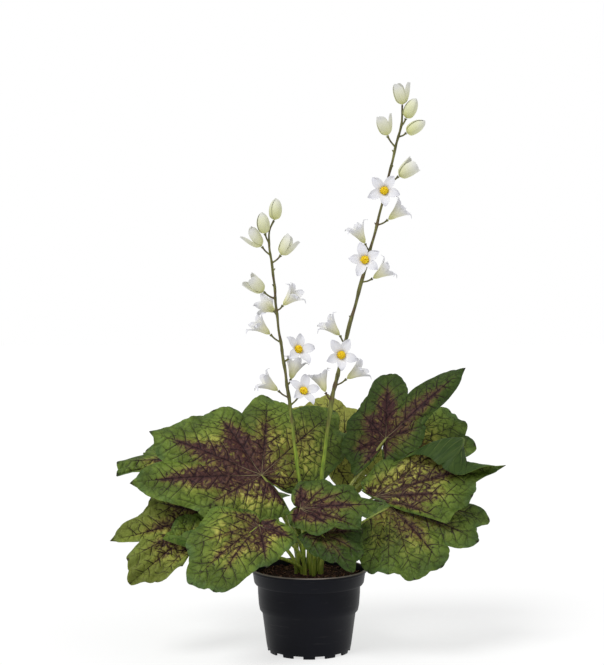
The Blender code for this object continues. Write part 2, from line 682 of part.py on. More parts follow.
def make_bloom(name, collection, materials):
    kind, foot, tip, facing = BLOOMS[name]
    if kind == "bud":
        return make_bud(name, tip, facing, collection, materials["bud"])
    parting = kind == "parting"
    samples = BROAD_SAMPLES if parting else PETAL_SAMPLES
    turns = [petal + share for petal in range(BLOOM_KINDS[kind]["petals"]) for share in samples]
    rings = PARTING_RINGS if parting else BLOOM_RINGS
    colour = materials["bud" if parting else "petal"]
    place = bloom_place(kind, tip, facing)
    bloom = wrapped_sheet(name, turns, rings, place, BLOOM_THICKNESS, collection, colour)
    smooth(bloom, 60)
    return bloom


def make_stamens(name, collection, material):
    """The yellow centre of an open flower, on a short neck that stands in its throat."""
    kind, foot, tip, facing = BLOOMS[name]
    profile = [(0, STAMEN_PROFILE[-1][1]), *reversed(STAMEN_PROFILE), (0, STAMEN_PROFILE[0][1])]
    heart = turned(name.replace("bloom", "stamens"), profile, 8, collection, material)
    turned_to = facing_turn(facing)
    for vertex in heart.data.vertices:
        point = vertex.co.copy()
        point.rotate(turned_to)
        vertex.co = point + Vector(tip) * MM
    smooth(heart, 60)
    return heart


def main():
    clear_scene()
    plant = new_collection("heuchera_plant")
    cutters = new_collection("cutters", hidden=True)
    materials = {name: make_material(name) for name in COLOURS}
    make_pot(plant, cutters, materials["pot"])
    make_soil(plant, cutters, materials["soil"])
    for name, leaf in LEAVES.items():
        make_leaf(name, leaf, plant, materials["leaf"])
    for name, stem in STEMS.items():
        make_stem(name, stem, plant, materials["stem"])
    for name, bloom in BLOOMS.items():
        make_bloom(name, plant, materials)
        if bloom[0] == "open":
            make_stamens(name, plant, materials["stamen"])


main()
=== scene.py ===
import math
import random

import bpy
import numpy as np
from mathutils import Matrix, Vector, noise


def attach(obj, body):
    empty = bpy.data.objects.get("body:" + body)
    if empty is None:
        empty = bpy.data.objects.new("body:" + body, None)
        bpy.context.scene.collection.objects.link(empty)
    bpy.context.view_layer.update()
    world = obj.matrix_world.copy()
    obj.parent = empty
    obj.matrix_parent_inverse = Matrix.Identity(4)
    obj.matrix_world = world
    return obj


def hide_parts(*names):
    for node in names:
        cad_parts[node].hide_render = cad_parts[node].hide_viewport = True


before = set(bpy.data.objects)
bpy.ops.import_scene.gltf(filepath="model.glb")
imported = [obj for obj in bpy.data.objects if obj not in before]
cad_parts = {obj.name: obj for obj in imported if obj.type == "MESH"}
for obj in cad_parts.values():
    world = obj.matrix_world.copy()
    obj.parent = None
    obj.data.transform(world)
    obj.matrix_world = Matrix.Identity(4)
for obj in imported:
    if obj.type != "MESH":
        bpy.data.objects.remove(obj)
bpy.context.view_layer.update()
print("frame loaded:", len(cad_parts), "nodes")

mm = 0.001  # every table below is in millimetres from the pot's foot, with -Y to the front


# camera: level, a little left of the pot's axis, as far back as the photo's perspective asks

cameraView = {"place": (-7.3, -1300, 330), "lens": 67.5, "sensor": 36}


def makeCamera():
    camera = added(
        bpy.ops.object.camera_add, location=Vector(cameraView["place"]) * mm,
        rotation=(math.radians(90), 0, 0))
    camera.name = "studioCamera"
    camera.data.lens = cameraView["lens"]
    camera.data.sensor_width = cameraView["sensor"]
    camera.data.dof.use_dof = False
    bpy.context.scene.camera = camera


# small helpers

def rgb(red, green, blue):
    # a screen colour, 0 to 255, as linear light
    return tuple(((part / 255 + 0.055) / 1.055) ** 2.4 if part > 10 else part / 255 / 12.92
                 for part in (red, green, blue)) + (1.0,)


def deselectAll():
    for other in list(bpy.context.selected_objects):
        other.select_set(False)


def pick(piece):
    deselectAll()
    piece.select_set(True)
    bpy.context.view_layer.objects.active = piece


def added(operator, **settings):
    # what an add operator makes, with nothing else selected
    deselectAll()
    operator(**settings)
    return bpy.context.object


def applyModifier(piece, kind, **settings):
    pick(piece)
    bpy.ops.object.modifier_add(type=kind)
    modifier = piece.modifiers[-1]
    for name, value in settings.items():
        setattr(modifier, name, value)
    bpy.ops.object.modifier_apply(modifier=modifier.name)


def editAll(piece, operator, **settings):
    pick(piece)
    bpy.ops.object.mode_set(mode="EDIT")
    bpy.ops.mesh.select_all(action="SELECT")
    operator(**settings)
    bpy.ops.object.mode_set(mode="OBJECT")


def weld(piece, distance=1e-6):
    editAll(piece, bpy.ops.mesh.remove_doubles, threshold=distance)


def outward(piece):
    editAll(piece, bpy.ops.mesh.normals_make_consistent, inside=False)


def smooth(piece, degrees=50):
    pick(piece)
    bpy.ops.object.shade_smooth_by_angle(angle=math.radians(degrees))


def joined(pieces, name):
    deselectAll()
    for piece in pieces:
        piece.select_set(True)
    bpy.context.view_layer.objects.active = pieces[0]
    if len(pieces) > 1:
        bpy.ops.object.join()
    whole = bpy.context.object
    whole.name = name
    whole.data.name = name
    return whole


def settle(piece):
    # puts the object's place into its mesh
    pick(piece)
    bpy.ops.object.transform_apply(location=True, rotation=True, scale=True)


def dress(piece, *materials):
    piece.data.materials.clear()
    for material in materials:
        piece.data.materials.append(material)


def place(piece, node):
    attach(piece, "root")
    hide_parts(node)


def smoothStep(low, high, value):
    share = np.clip((value - low) / (high - low), 0.0, 1.0)
    return share * share * (3 - 2 * share)


def gridPiece(name, columns, rows):
    # a flat grid, with the column and row that each of its points has
    piece = added(
        bpy.ops.mesh.primitive_grid_add, x_subdivisions=columns, y_subdivisions=rows, size=1)
    piece.name = name
    piece.data.uv_layers[0].name = "flat"
    points = np.empty(len(piece.data.vertices) * 3, np.float32)
    piece.data.vertices.foreach_get("co", points)
    points = points.reshape(-1, 3)
    column = np.rint((points[:, 0] + 0.5) * columns).astype(int)
    row = np.rint((points[:, 1] + 0.5) * rows).astype(int)
    return piece, column, row


def moveTo(piece, points):
    # points in millimetres, one for each vertex
    piece.data.vertices.foreach_set("co", (np.asarray(points, np.float32) * mm).ravel())
    piece.data.update()


def pointValues(piece, **values):
    # a number for each vertex under each name, or one number for all of them
    for name, value in values.items():
        layer = piece.data.attributes.new(name, "FLOAT", "POINT")
        each = np.broadcast_to(np.asarray(value, np.float32), len(piece.data.vertices))
        layer.data.foreach_set("value", np.ascontiguousarray(each))


def cornerPoints(piece):
    # the vertex at each face corner
    corners = np.empty(len(piece.data.loops), np.int32)
    piece.data.loops.foreach_get("vertex_index", corners)
    return corners


def cornerMap(piece, name, values):
    layer = piece.data.uv_layers.get(name) or piece.data.uv_layers.new(name=name)
    layer.data.foreach_set("uv", np.asarray(values, np.float32).ravel())


def tubePiece(name, points, radii, sides=3):
    # a round tube through points in millimetres, with a radius at each, its ends closed
    route = added(bpy.ops.curve.primitive_nurbs_path_add)
    route.name = name
    curve = route.data
    curve.splines.clear()
    curve.dimensions = "3D"
    curve.bevel_depth = mm
    curve.bevel_resolution = sides
    curve.use_fill_caps = True
    spline = curve.splines.new("POLY")
    spline.points.add(len(points) - 1)
    for corner, point, radius in zip(spline.points, points, radii):
        corner.co = (*(Vector(point) * mm), 1)
        corner.radius = radius
    pick(route)
    bpy.ops.object.convert(target="MESH")
    tube = bpy.context.object
    weld(tube)
    settle(tube)
    return tube


# shader maths: a Value is one socket, and an expression on Values adds the nodes

class Value:
    def __init__(self, graph, socket):
        self.graph = graph
        self.socket = socket

    def math(self, operation, *others, clamp=False):
        settings = {"operation": operation, "use_clamp": clamp}
        return self.graph.add("ShaderNodeMath", settings, {0: self, **dict(enumerate(others, 1))})

    def __add__(self, other):
        return self.math("ADD", other)

    __radd__ = __add__

    def __sub__(self, other):
        return self.math("SUBTRACT", other)

    def __rsub__(self, other):
        return self.graph.add("ShaderNodeMath", {"operation": "SUBTRACT"}, {0: other, 1: self})

    def __mul__(self, other):
        return self.math("MULTIPLY", other)

    __rmul__ = __mul__

    def __abs__(self):
        return self.math("ABSOLUTE")

    def fraction(self):
        return self.math("FRACT")

    def larger(self, other):
        return self.math("MAXIMUM", other)

    def clamped(self):
        return self.math("ADD", 0.0, clamp=True)

    def step(self, low, high):
        # 0 below low and 1 above high, smooth between
        return self.graph.add(
            "ShaderNodeMapRange", {"interpolation_type": "SMOOTHSTEP"},
            {"Value": self, "From Min": low, "From Max": high})

    def line(self, width, soft):
        # 1 where this distance is less than width, fading over soft
        return 1 - self.step(width, width + soft)

    def moved(self, other):
        return self.graph.add("ShaderNodeVectorMath", {"operation": "ADD"}, {0: self, 1: other})

    def times(self, amount):
        return self.graph.add("ShaderNodeVectorMath", {"operation": "SCALE"}, {0: self, "Scale": amount})

    def stretched(self, amounts):
        return self.graph.add("ShaderNodeVectorMath", {"operation": "MULTIPLY"}, {0: self, 1: amounts})


class Finish:
    # one material and its nodes
    def __init__(self, name, roughness=0.5, specular=0.5):
        self.material = bpy.data.materials.new(name)
        self.material.use_nodes = True
        self.tree = self.material.node_tree
        self.shader = self.tree.nodes["Principled BSDF"]
        self.shader.inputs["Roughness"].default_value = roughness
        self.shader.inputs["Specular IOR Level"].default_value = specular

    def add(self, kind, settings=None, sockets=None, out=0):
        node = self.tree.nodes.new(kind)
        for name, value in (settings or {}).items():
            if name == "stops":
                self.setStops(node.color_ramp, value)
            else:
                setattr(node, name, value)
        for name, value in (sockets or {}).items():
            self.feed(node.inputs[name], value)
        return Value(self, node.outputs[out])

    def setStops(self, ramp, stops):
        while len(ramp.elements) < len(stops):
            ramp.elements.new(0.5)
        for element, (position, colour) in zip(ramp.elements, stops):
            element.position = position
            element.color = colour

    def feed(self, socket, value):
        if isinstance(value, Value):
            self.tree.links.new(value.socket, socket)
        else:
            socket.default_value = value

    def set(self, name, value):
        self.feed(self.shader.inputs[name], value)

    def uv(self, name):
        return self.add("ShaderNodeUVMap", {"uv_map": name})

    def spot(self):
        return self.add("ShaderNodeTexCoord", out="Object")

    def attribute(self, name):
        return self.add("ShaderNodeAttribute", {"attribute_name": name}, out="Fac")

    def parts(self, vector):
        split = self.add("ShaderNodeSeparateXYZ", {}, {0: vector})
        outputs = split.socket.node.outputs
        return [Value(self, output) for output in outputs]

    def noise(self, vector, scale, detail=2.0, out="Fac"):
        sockets = {"Vector": vector, "Scale": scale, "Detail": detail}
        return self.add("ShaderNodeTexNoise", {}, sockets, out=out)

    def cellEdge(self, vector, size):
        # distance to the nearest edge between cells, in the map's own units
        edge = self.add(
            "ShaderNodeTexVoronoi", {"feature": "DISTANCE_TO_EDGE", "voronoi_dimensions": "2D"},
            {"Vector": vector, "Scale": 1 / size})
        return edge * size

    def cellTone(self, vector, size):
        # one random number for each of the same cells
        tone = self.add(
            "ShaderNodeTexVoronoi", {"feature": "F1", "voronoi_dimensions": "2D"},
            {"Vector": vector, "Scale": 1 / size}, out="Color")
        return self.parts(tone)[0]

    def mix(self, first, second, factor):
        return self.add(
            "ShaderNodeMix", {"data_type": "RGBA"}, {0: factor, 6: first, 7: second}, out=2)

    def bump(self, height, distance, strength=1.0):
        normal = self.add(
            "ShaderNodeBump", {}, {"Height": height, "Distance": distance, "Strength": strength})
        self.set("Normal", normal)


# leaves: the same places and lobes as the part's own, with more of their edge and relief
# seat is where the stalk meets the blade, base and bend lie on the stalk, tips end the main veins
# a notch between two tips is a share of their length; blunt names the tips with no point
# flush and stains set the burgundy, warm the orange round it, dull paints shade (light below 0)

leafPlaces = {
    "leaf_left_large": dict(
        seat=(-49, -14, 183), base=(-11, -3), bend=(-24, -9, 153), arch=0.05, flush=1.15, warm=0.3,
        blunt=(3, 4, 5),
        stains=(0.5, 0.25, 0.25, 0.3, 0.45, 1.35, 1.0, 1.05, 1.05, 0.9),
        tips=[(-19, 2, 162), (17, 14, 172), (44, 52, 212), (29, 70, 244), (-45, 58, 260), (-102, 36, 247),
              (-162, 4, 223), (-177, -24, 177), (-113, -34, 148), (-20, -21, 147)],
        notches=[0.02, 0.06, 0.05, 0.16, 0.16, 0.06, 0.17, 0.02, 0.05]),
    "leaf_left_far": dict(
        seat=(-95, 62, 188), base=(-12, 9), bend=(-40, 40, 165), arch=0.05, flush=0.8, warm=0.2,
        blunt=(0, 1, 2, 3, 4),
        tips=[(-60, 106, 204), (-118, 115, 211), (-181, 94, 200), (-210, 60, 187), (-208, 50, 177),
              (-170, 32, 176), (-127, 30, 176)],
        notches=[0.14, 0.14, 0.14, 0.02, 0.12, 0.12]),
    "leaf_left_low": dict(
        seat=(-99, -4, 145), base=(-13, -9), bend=(-50, -8, 128), arch=-0.03, flush=1.1, warm=0.25,
        dull=-0.3, blunt=(1, 3, 4, 5, 6),
        tips=[(-110, 14, 162), (-165, -6, 155), (-198, -34, 120), (-184, -48, 101), (-180, -54, 79),
              (-153, -52, 80), (-128, -44, 94)],
        notches=[0.08, 0.1, 0.22, 0.02, 0.02, 0.02]),
    "leaf_left_folded": dict(
        seat=(-106, -28, 106), base=(-7, -11), bend=(-40, -26, 108), arch=0.0, flush=0.1, warm=0.1,
        tips=[(-106, -12, 144), (-135, -18, 139), (-148, -36, 120), (-127, -50, 128), (-100, -46, 136)],
        notches=[0.04, 0.06, 0.06, 0.04]),
    "leaf_front_left": dict(
        seat=(-50, -52, 137), base=(-4, -15), bend=(-24, -38, 124), arch=0.08, flush=1.15, warm=0.4,
        stains=(0.5, 0.5, 0.7, 1.1, 0.95, 0.75, 0.9, 0.7),
        tips=[(-70, -38, 152), (-102, -44, 150), (-119, -82, 119), (-114, -106, 88), (-91, -116, 84),
              (-42, -92, 105), (-13, -64, 123), (-31, -46, 142)],
        notches=[0.05, 0.08, 0.02, 0.02, 0.08, 0.1, 0.1]),
    "leaf_front_middle": dict(
        seat=(-9, -38, 152), base=(2, -10), bend=(-12, -22, 138), arch=0.06, flush=1.3, warm=0.2, dull=0.65,
        tips=[(-18, -46, 136), (24, -64, 136), (50, -66, 137), (69, -58, 158), (46, -44, 172),
              (22, -32, 177), (-8, -26, 177)],
        notches=[0.2, 0.02, 0.1, 0.08, 0.05, 0.06]),
    "leaf_front_low": dict(
        seat=(11, -46, 129), base=(5, -16), bend=(8, -30, 118), arch=0.1, flush=0.85, warm=0.0, dull=1.15,
        blunt=(1, 2, 3, 4),
        tips=[(-11, -50, 125), (0, -62, 112), (25, -76, 104), (41, -86, 97), (52, -68, 109),
              (51, -48, 129), (3, -38, 141)],
        notches=[0.06, 0.08, 0.05, 0.04, 0.1, 0.1]),
    "leaf_right_upper": dict(
        seat=(82, 30, 217), base=(10, 4), bend=(48, 0, 176), arch=0.05, flush=1.15, warm=0.3, dull=1.0,
        blunt=(1, 3, 4, 5),
        tips=[(80, 16, 192), (123, 28, 231), (166, 46, 287), (88, 76, 285), (53, 56, 246),
              (37, 26, 199), (48, 4, 180)],
        notches=[0.12, 0.24, 0.42, 0.08, 0.1, 0.12]),
    "leaf_right_back": dict(
        seat=(82, 58, 189), base=(12, 11), bend=(40, 40, 160), arch=0.06, flush=0.6, warm=0.9,
        blunt=(1, 2, 3, 4, 5),
        tips=[(141, 48, 174), (184, 68, 208), (174, 86, 230), (158, 94, 243), (132, 102, 249),
              (84, 112, 236)],
        notches=[0.1, 0.08, 0.01, 0.03, 0.14]),
    "leaf_right_middle": dict(
        seat=(68, -5, 159), base=(13, -3), bend=(36, -8, 140), arch=0.06, flush=0.7, warm=0.1, blunt=(1, 2),
        curl={4: 215}, curlTo=(-0.1, -0.93, -0.35),
        tips=[(80, -14, 154), (142, -44, 139), (167, -30, 163), (196, -10, 193), (200, 30, 243),
              (90, 10, 196), (56, 5, 174), (55, -4, 165)],
        notches=[0.1, 0.06, 0.1, 0.1, 0.05, 0.08, 0.05]),
    "leaf_right_low": dict(
        seat=(85, -10, 150), base=(11, -10), bend=(46, -16, 130), arch=0.07, flush=0.5, warm=0.5, dull=0.4,
        blunt=(3, 4, 5, 6, 7),
        tips=[(49, -33, 132), (58, -54, 90), (78, -64, 90), (104, -68, 84), (133, -60, 98),
              (170, -40, 118), (188, -8, 138), (140, 10, 160)],
        notches=[0.04, 0.04, 0.08, 0.03, 0.2, 0.1, 0.1]),
    "leaf_back_middle": dict(
        seat=(18, 84, 200), base=(3, 13), bend=(8, 46, 168), arch=0.07, flush=0.3, warm=0.3, dull=-0.8,
        tips=[(52, 78, 150), (84, 92, 190), (66, 104, 238), (22, 112, 258), (-34, 104, 236),
              (-42, 92, 194), (-24, 82, 156)],
        notches=[0.16, 0.16, 0.14, 0.14, 0.16, 0.16]),
    "leaf_back_left": dict(
        seat=(-54, 66, 152), base=(-5, 10), bend=(-26, 42, 144), arch=0.1, flush=0.8, warm=0.3,
        tips=[(-22, 112, 144), (-74, 116, 120), (-122, 106, 128), (-150, 70, 142), (-112, 40, 136)],
        notches=[0.16, 0.16, 0.2, 0.16]),
    "leaf_back_right": dict(
        seat=(62, 62, 146), base=(7, 16), bend=(30, 40, 136), arch=0.1, flush=0.7, warm=0.4,
        tips=[(128, 34, 134), (150, 72, 140), (118, 112, 126), (66, 116, 120), (24, 102, 138)],
        notches=[0.16, 0.2, 0.16, 0.16]),
    "leaf_back_low": dict(
        seat=(2, 62, 122), base=(-1, 18), bend=(1, 38, 116), arch=0.1, flush=0.6, warm=0.3,
        tips=[(38, 54, 112), (40, 94, 98), (0, 117, 86), (-44, 96, 98), (-34, 54, 114)],
        notches=[0.14, 0.16, 0.16, 0.14]),
}

leafForm = {
    "thickness": 0.5,
    "columnSpan": 2.4,  # along the margin
    "ringSpan": 2.6,
    "wave": 0.022,  # the blade's slow waves, and a finer ripple at its margin
    "waves": 1.5,
    "ripple": 1.3,
    "rippleSpan": 43,
    "curlStart": 0.58,  # the share of a column where a curled tip starts to roll
    "tipPoint": 0.05,  # how far a sharp tip juts out, and over what share of its sector
    "pointSpan": 0.08,
    "leastNotch": 0.1,  # a shallower notch doesn't part two lobes
    "sinus": 0.86,  # the deep notch at the stalk
    "sinusSharpness": 1.1,
    "notchSharpness": 1.7,
    "scallop": 1.3,  # depth and length of the margin's small rounded teeth, and of its slow swing
    "scallopSpan": 10.0,
    "toothPower": 0.5,
    "toothMean": 0.7,
    "fullTeeth": 40,  # a column shorter than this has smaller teeth
    "swing": 0.6,
    "swingSpan": 31,
    "groove": 2.8,  # the sunk strip over a main vein: its depth, half-width and start
    "grooveWidth": 6.0,
    "grooveReach": (0.0, 0.15),
    "puff": 2.0,  # how high the blade swells between side veins, and where it starts
    "puffReach": (1.0, 7.0),
    "puffMiddle": (0.0, 0.15),
    "puffMean": 0.4,
    "sidePitch": 15.0,  # side veins: how far apart, and how they slant and bend to the margin
    "sideSlope": 0.75,
    "sideBend": 0.006,
    "sideSway": 3.0,
    "swaySpan": 17,
    "flushWidth": 0.18,  # the burgundy: its width, where along a vein it peaks, and where it fades
    "flushPad": 0.5,
    "flushShare": (0.3, 0.7),
    "flushPeak": 0.36,
    "flushSpread": 0.22,
    "flushFade": (0.5, 0.92),
    "heartFade": (0.08, 0.3),
    "heartFlush": 0.8,
    "patternShift": 37.0,  # how far apart two leaves' parts of the pattern lie
    "veinTurn": 1.4,  # a main vein marks nothing further round than this
    "weakVein": 0.5,
}

stalkForm = {
    "soilTop": 78.0, "foot": 65.3, "free": 82.0, "rise": 0.4, "radius": 2.1, "top": 0.62,
    "reach": 0.16, "tip": 0.3, "samples": 22, "behind": -0.9,
}


def turnBetween(start, end, share):
    angle = start.angle(end)
    mixed = start.normalized() * math.sin((1 - share) * angle) + end.normalized() * math.sin(share * angle)
    return mixed.normalized()


class Blade:
    # one leaf's blade, read column by column round its seat
    def __init__(self, leaf):
        self.seat = Vector(leaf["seat"])
        self.veins = [Vector(tip) - self.seat for tip in leaf["tips"]]
        self.count = len(self.veins)
        self.notches = [*leaf["notches"], leafForm["sinus"]]
        self.arch = leaf["arch"]
        self.curl = leaf.get("curl", {})
        self.curlTo = Vector(leaf.get("curlTo", (0, -1, 0))).normalized()
        self.blunt = leaf.get("blunt", ())
        self.phase = sum(leaf["seat"])
        self.sectors = [self.vein(i).cross(self.vein(i + 1)).normalized() for i in range(self.count)]
        face = sum((self.sectors[i] for i in range(self.count - 1)), Vector())
        self.open = self.sectors[-1].dot(face) < 0  # a fan of less than half a turn
        if self.open:
            self.sectors[-1] = face.normalized()
        self.angles = [self.vein(i).angle(self.vein(i + 1)) for i in range(self.count)]

    def vein(self, index):
        return self.veins[index % self.count]

    def beside(self, index):
        return max(self.notches[(index - 1) % self.count], self.notches[index % self.count])

    def strength(self, index):
        # a lobe with a notch beside it has a full main vein
        return 1.0 if self.beside(index) >= leafForm["leastNotch"] else leafForm["weakVein"]

    def facing(self, index, share):
        before = self.sectors[(index - 1) % self.count]
        here = self.sectors[index % self.count]
        after = self.sectors[(index + 1) % self.count]
        atStart = (before + here).normalized()
        atEnd = (here + after).normalized()
        mixed = atStart * (1 - share) ** 2 + here * (2 * share * (1 - share)) + atEnd * share ** 2
        return mixed.normalized()

    def point(self, index):
        sharp = self.beside(index) >= leafForm["leastNotch"] and index % self.count not in self.blunt
        return leafForm["tipPoint"] if sharp else 0.0

    def length(self, index, share):
        depth = self.notches[index % self.count]
        sharp = leafForm["sinusSharpness"] if depth == leafForm["sinus"] else leafForm["notchSharpness"]
        fall = depth * (1 - abs(2 * share - 1)) ** sharp
        span = leafForm["pointSpan"]
        point = max(self.point(index) * (1 - share / span),
                    self.point(index + 1) * (1 - (1 - share) / span), 0.0)
        eased = share * share * (3 - 2 * share)
        plain = self.vein(index).length * (1 - eased) + self.vein(index + 1).length * eased
        return plain * (1 - fall + point)

    def curlAt(self, index, share):
        start = self.curl.get(index % self.count, 0.0)
        end = self.curl.get((index + 1) % self.count, 0.0)
        return start * (1 - share) + end * share

    def plainPlace(self, index, reach):
        # a point on a main vein, down in its groove
        length = self.length(index, 0.0)
        rise = self.arch * length * 4 * reach * (1 - reach)
        start = float(smoothStep(*leafForm["grooveReach"], reach))
        rise -= leafForm["groove"] * self.strength(index) * (1 - reach) * start
        along = self.vein(index).normalized()
        return self.seat + self.facing(index, 0.0) * rise + along * (length * reach)


def bladeColumns(blade):
    # the columns round the seat: sector, share, unrolled angle and margin length so far
    columns = []
    angle = 0.0
    margin = 0.0
    for index in range(blade.count - (1 if blade.open else 0)):
        span = blade.angles[index]
        longest = max(blade.vein(index).length, blade.vein(index + 1).length)
        samples = max(6, 2 * math.ceil(span * longest / leafForm["columnSpan"] / 2))
        for step in range(samples):
            share = step / samples
            columns.append((index, share, angle + share * span, margin + share * span * longest))
        angle += span
        margin += span * longest
    if blade.open:
        columns.append((blade.count - 1, 0.0, angle, margin))
    else:
        columns.append((blade.count - 1, 1.0, angle, margin))
    return columns


def edgeLength(blade, index, share, margin, seed):
    # how far the blade reaches at one column, with the margin's teeth
    length = blade.length(index, share)
    tooth = abs(math.sin(math.pi * margin / leafForm["scallopSpan"] + seed)) ** leafForm["toothPower"]
    tooth -= leafForm["toothMean"]
    tooth += leafForm["swing"] * math.sin(2 * math.pi * margin / leafForm["swingSpan"] + 2 * seed)
    return length + leafForm["scallop"] * tooth * min(1.0, length / leafForm["fullTeeth"])


def veinMarks(blade, stains, angle, radius, reach, longest):
    # the groove and the burgundy flush that every main vein gives to one column
    groove = np.zeros_like(reach)
    flush = np.zeros_like(reach)
    least, extra = leafForm["flushShare"]
    peak = least + extra * np.exp(-((reach - leafForm["flushPeak"]) / leafForm["flushSpread"]) ** 2)
    fade = 1 - smoothStep(*leafForm["flushFade"], reach)
    for number, veinAngle in enumerate(np.cumsum([0.0, *blade.angles])):
        apart = abs(angle - veinAngle)
        if apart > leafForm["veinTurn"]:
            continue
        strength = blade.strength(number % blade.count)
        across = radius * math.sin(apart)
        width = leafForm["flushWidth"] * longest * peak * strength + leafForm["flushPad"]
        stain = strength * stains[number % blade.count]
        flush = np.maximum(flush, stain * np.exp(-(across / width) ** 2) * fade)
        groove += strength * np.exp(-(across / leafForm["grooveWidth"]) ** 2)
    heart = 1 - smoothStep(*leafForm["heartFade"], reach)
    return np.minimum(groove, 1.0), np.maximum(flush, leafForm["heartFlush"] * heart)


def swelling(blade, index, share, radius, reach):
    # the rounded swelling between one column's side veins
    middle = abs(share - 0.5)
    apart = (share if share < 0.5 else 1 - share) * blade.angles[index]
    across = radius * math.sin(apart)
    side = radius * math.cos(apart) - leafForm["sideSlope"] * across - leafForm["sideBend"] * across ** 2
    offset = 0.5 if share < 0.5 else 0.0
    swell = np.abs(np.sin(math.pi * (side / leafForm["sidePitch"] + offset))) - leafForm["puffMean"]
    window = smoothStep(*leafForm["puffReach"], across) * smoothStep(*leafForm["puffMiddle"], middle)
    return leafForm["puff"] * swell * (window * (1 - reach ** 4))


def bladeSurface(blade, leaf, seed):
    # positions, unrolled places and flush of every column and ring, as arrays
    columns = bladeColumns(blade)
    longest = max(vein.length for vein in blade.veins)
    reach = np.linspace(0, 1, math.ceil(longest / leafForm["ringSpan"]) + 1)
    seat = np.array(blade.seat)
    start = leafForm["curlStart"]
    stains = leaf.get("stains") or [
        0.76 + 0.26 * math.sin(5.1 * number + 2.3 * seed) for number in range(blade.count)]
    positions, flats, flushes, lengths = [], [], [], []
    for index, share, angle, margin in columns:
        facing = np.array(blade.facing(index, share))
        along = np.array(turnBetween(blade.vein(index), blade.vein(index + 1), share))
        length = edgeLength(blade, index, share, margin, seed)
        radius = length * reach
        groove, flush = veinMarks(blade, stains, angle, radius, reach, longest)
        height = blade.arch * length * 4 * reach * (1 - reach)
        sway = math.sin(2 * math.pi * (index + share) * leafForm["waves"] + blade.phase)
        height = height + leafForm["wave"] * length * sway * reach ** 3
        ripple = math.sin(2 * math.pi * margin / leafForm["rippleSpan"] + seed)
        height = height + leafForm["ripple"] * ripple * reach ** 6
        height = height + swelling(blade, index, share, radius, reach)
        sunk = leafForm["groove"] * groove * (1 - reach)
        height = height - sunk * smoothStep(*leafForm["grooveReach"], reach)
        line = seat + facing * height[:, None] + along * radius[:, None]
        curl = blade.curlAt(index, share)
        if curl >= 1:
            bend = math.radians(curl) * (np.clip(reach - start, 0, None) / (1 - start))
            hoop = length * (1 - start) / math.radians(curl)
            forward = length * start + hoop * np.sin(bend)
            lift = hoop * (1 - np.cos(bend))
            rolled = seat + facing * height[:, None] + np.array(blade.curlTo) * lift[:, None]
            rolled = rolled + along * forward[:, None]
            line = np.where((reach > start)[:, None], rolled, line)
        positions.append(line)
        flats.append(np.stack([radius * math.cos(angle), radius * math.sin(angle)], axis=1))
        flushes.append(leaf["flush"] * flush)
        lengths.append(length)
    positions = np.array(positions)
    if not blade.open:
        positions[-1] = positions[0]
    return columns, reach, positions, np.array(flats), np.array(flushes), np.array(lengths)


def swayField(flats, seed):
    # a slow random drift of the side veins, from the unrolled place
    drift = np.zeros(flats.shape[:2])
    for column in range(flats.shape[0]):
        for ring in range(flats.shape[1]):
            x, y = flats[column, ring] / leafForm["swaySpan"]
            drift[column, ring] = noise.noise(Vector((x, y, seed)))
    return drift * leafForm["sideSway"]


def makeBlade(name, leaf, seed):
    blade = Blade(leaf)
    columns, reach, positions, flats, flushes, lengths = bladeSurface(blade, leaf, seed)
    sheet, ring, turn = gridPiece(name, len(reach) - 1, len(columns) - 1)
    moveTo(sheet, positions[turn, ring])
    # rolled marks the curled-over tip, whose underside is given painted shade
    rolled = np.array([min(1.0, blade.curlAt(column[0], column[1]) / 90) for column in columns])
    # dull sets how much painted shade covers the whole leaf, and below 0 how much painted light
    pointValues(
        sheet, reach=reach[ring], flush=flushes[turn, ring], warm=leaf["warm"], dull=leaf.get("dull", 0.0),
        rolled=rolled[turn] * smoothStep(leafForm["curlStart"], 0.75, reach[ring]))
    # two maps: the blade laid flat, and the count of side veins with the way to the main one
    sway = swayField(flats, seed)
    veinAngles = np.cumsum([0.0, *blade.angles])
    angles = np.array([column[2] for column in columns])
    corners = cornerPoints(sheet)
    cornerTurn = turn[corners].reshape(-1, 4)
    cornerRing = ring[corners].reshape(-1, 4)
    strip = cornerTurn.min(axis=1)
    shift = leafForm["patternShift"] * seed
    cornerMap(sheet, "flat", flats[cornerTurn, cornerRing].reshape(-1, 2) + shift)
    sector = np.array([column[0] for column in columns])[strip]
    share = np.array([column[1] for column in columns])[strip]
    firstHalf = share < 0.499
    nearer = np.where(firstHalf, sector, sector + 1)
    side = np.where(firstHalf, 1.0, -1.0)
    strengths = np.array([blade.strength(number % blade.count) for number in range(blade.count + 1)])
    apart = angles[cornerTurn] - veinAngles[nearer][:, None]
    radius = lengths[cornerTurn] * reach[cornerRing]
    along = radius * np.cos(apart)
    across = np.abs(radius * np.sin(apart))
    slant = leafForm["sideSlope"] * across + leafForm["sideBend"] * across ** 2
    count = (along - slant + sway[cornerTurn, cornerRing]) / leafForm["sidePitch"]
    count += np.where(side > 0, 0.5, 0.0)[:, None]
    away = across * side[:, None] / strengths[nearer][:, None]
    cornerMap(sheet, "vein", np.stack([count, away], axis=2).reshape(-1, 2))
    weld(sheet, 1e-7)
    return blade, sheet


def bezier(points, share):
    a, b, c, d = (Vector(point) for point in points)
    rest = 1 - share
    return a * rest ** 3 + b * (3 * rest ** 2 * share) + c * (3 * rest * share ** 2) + d * share ** 3


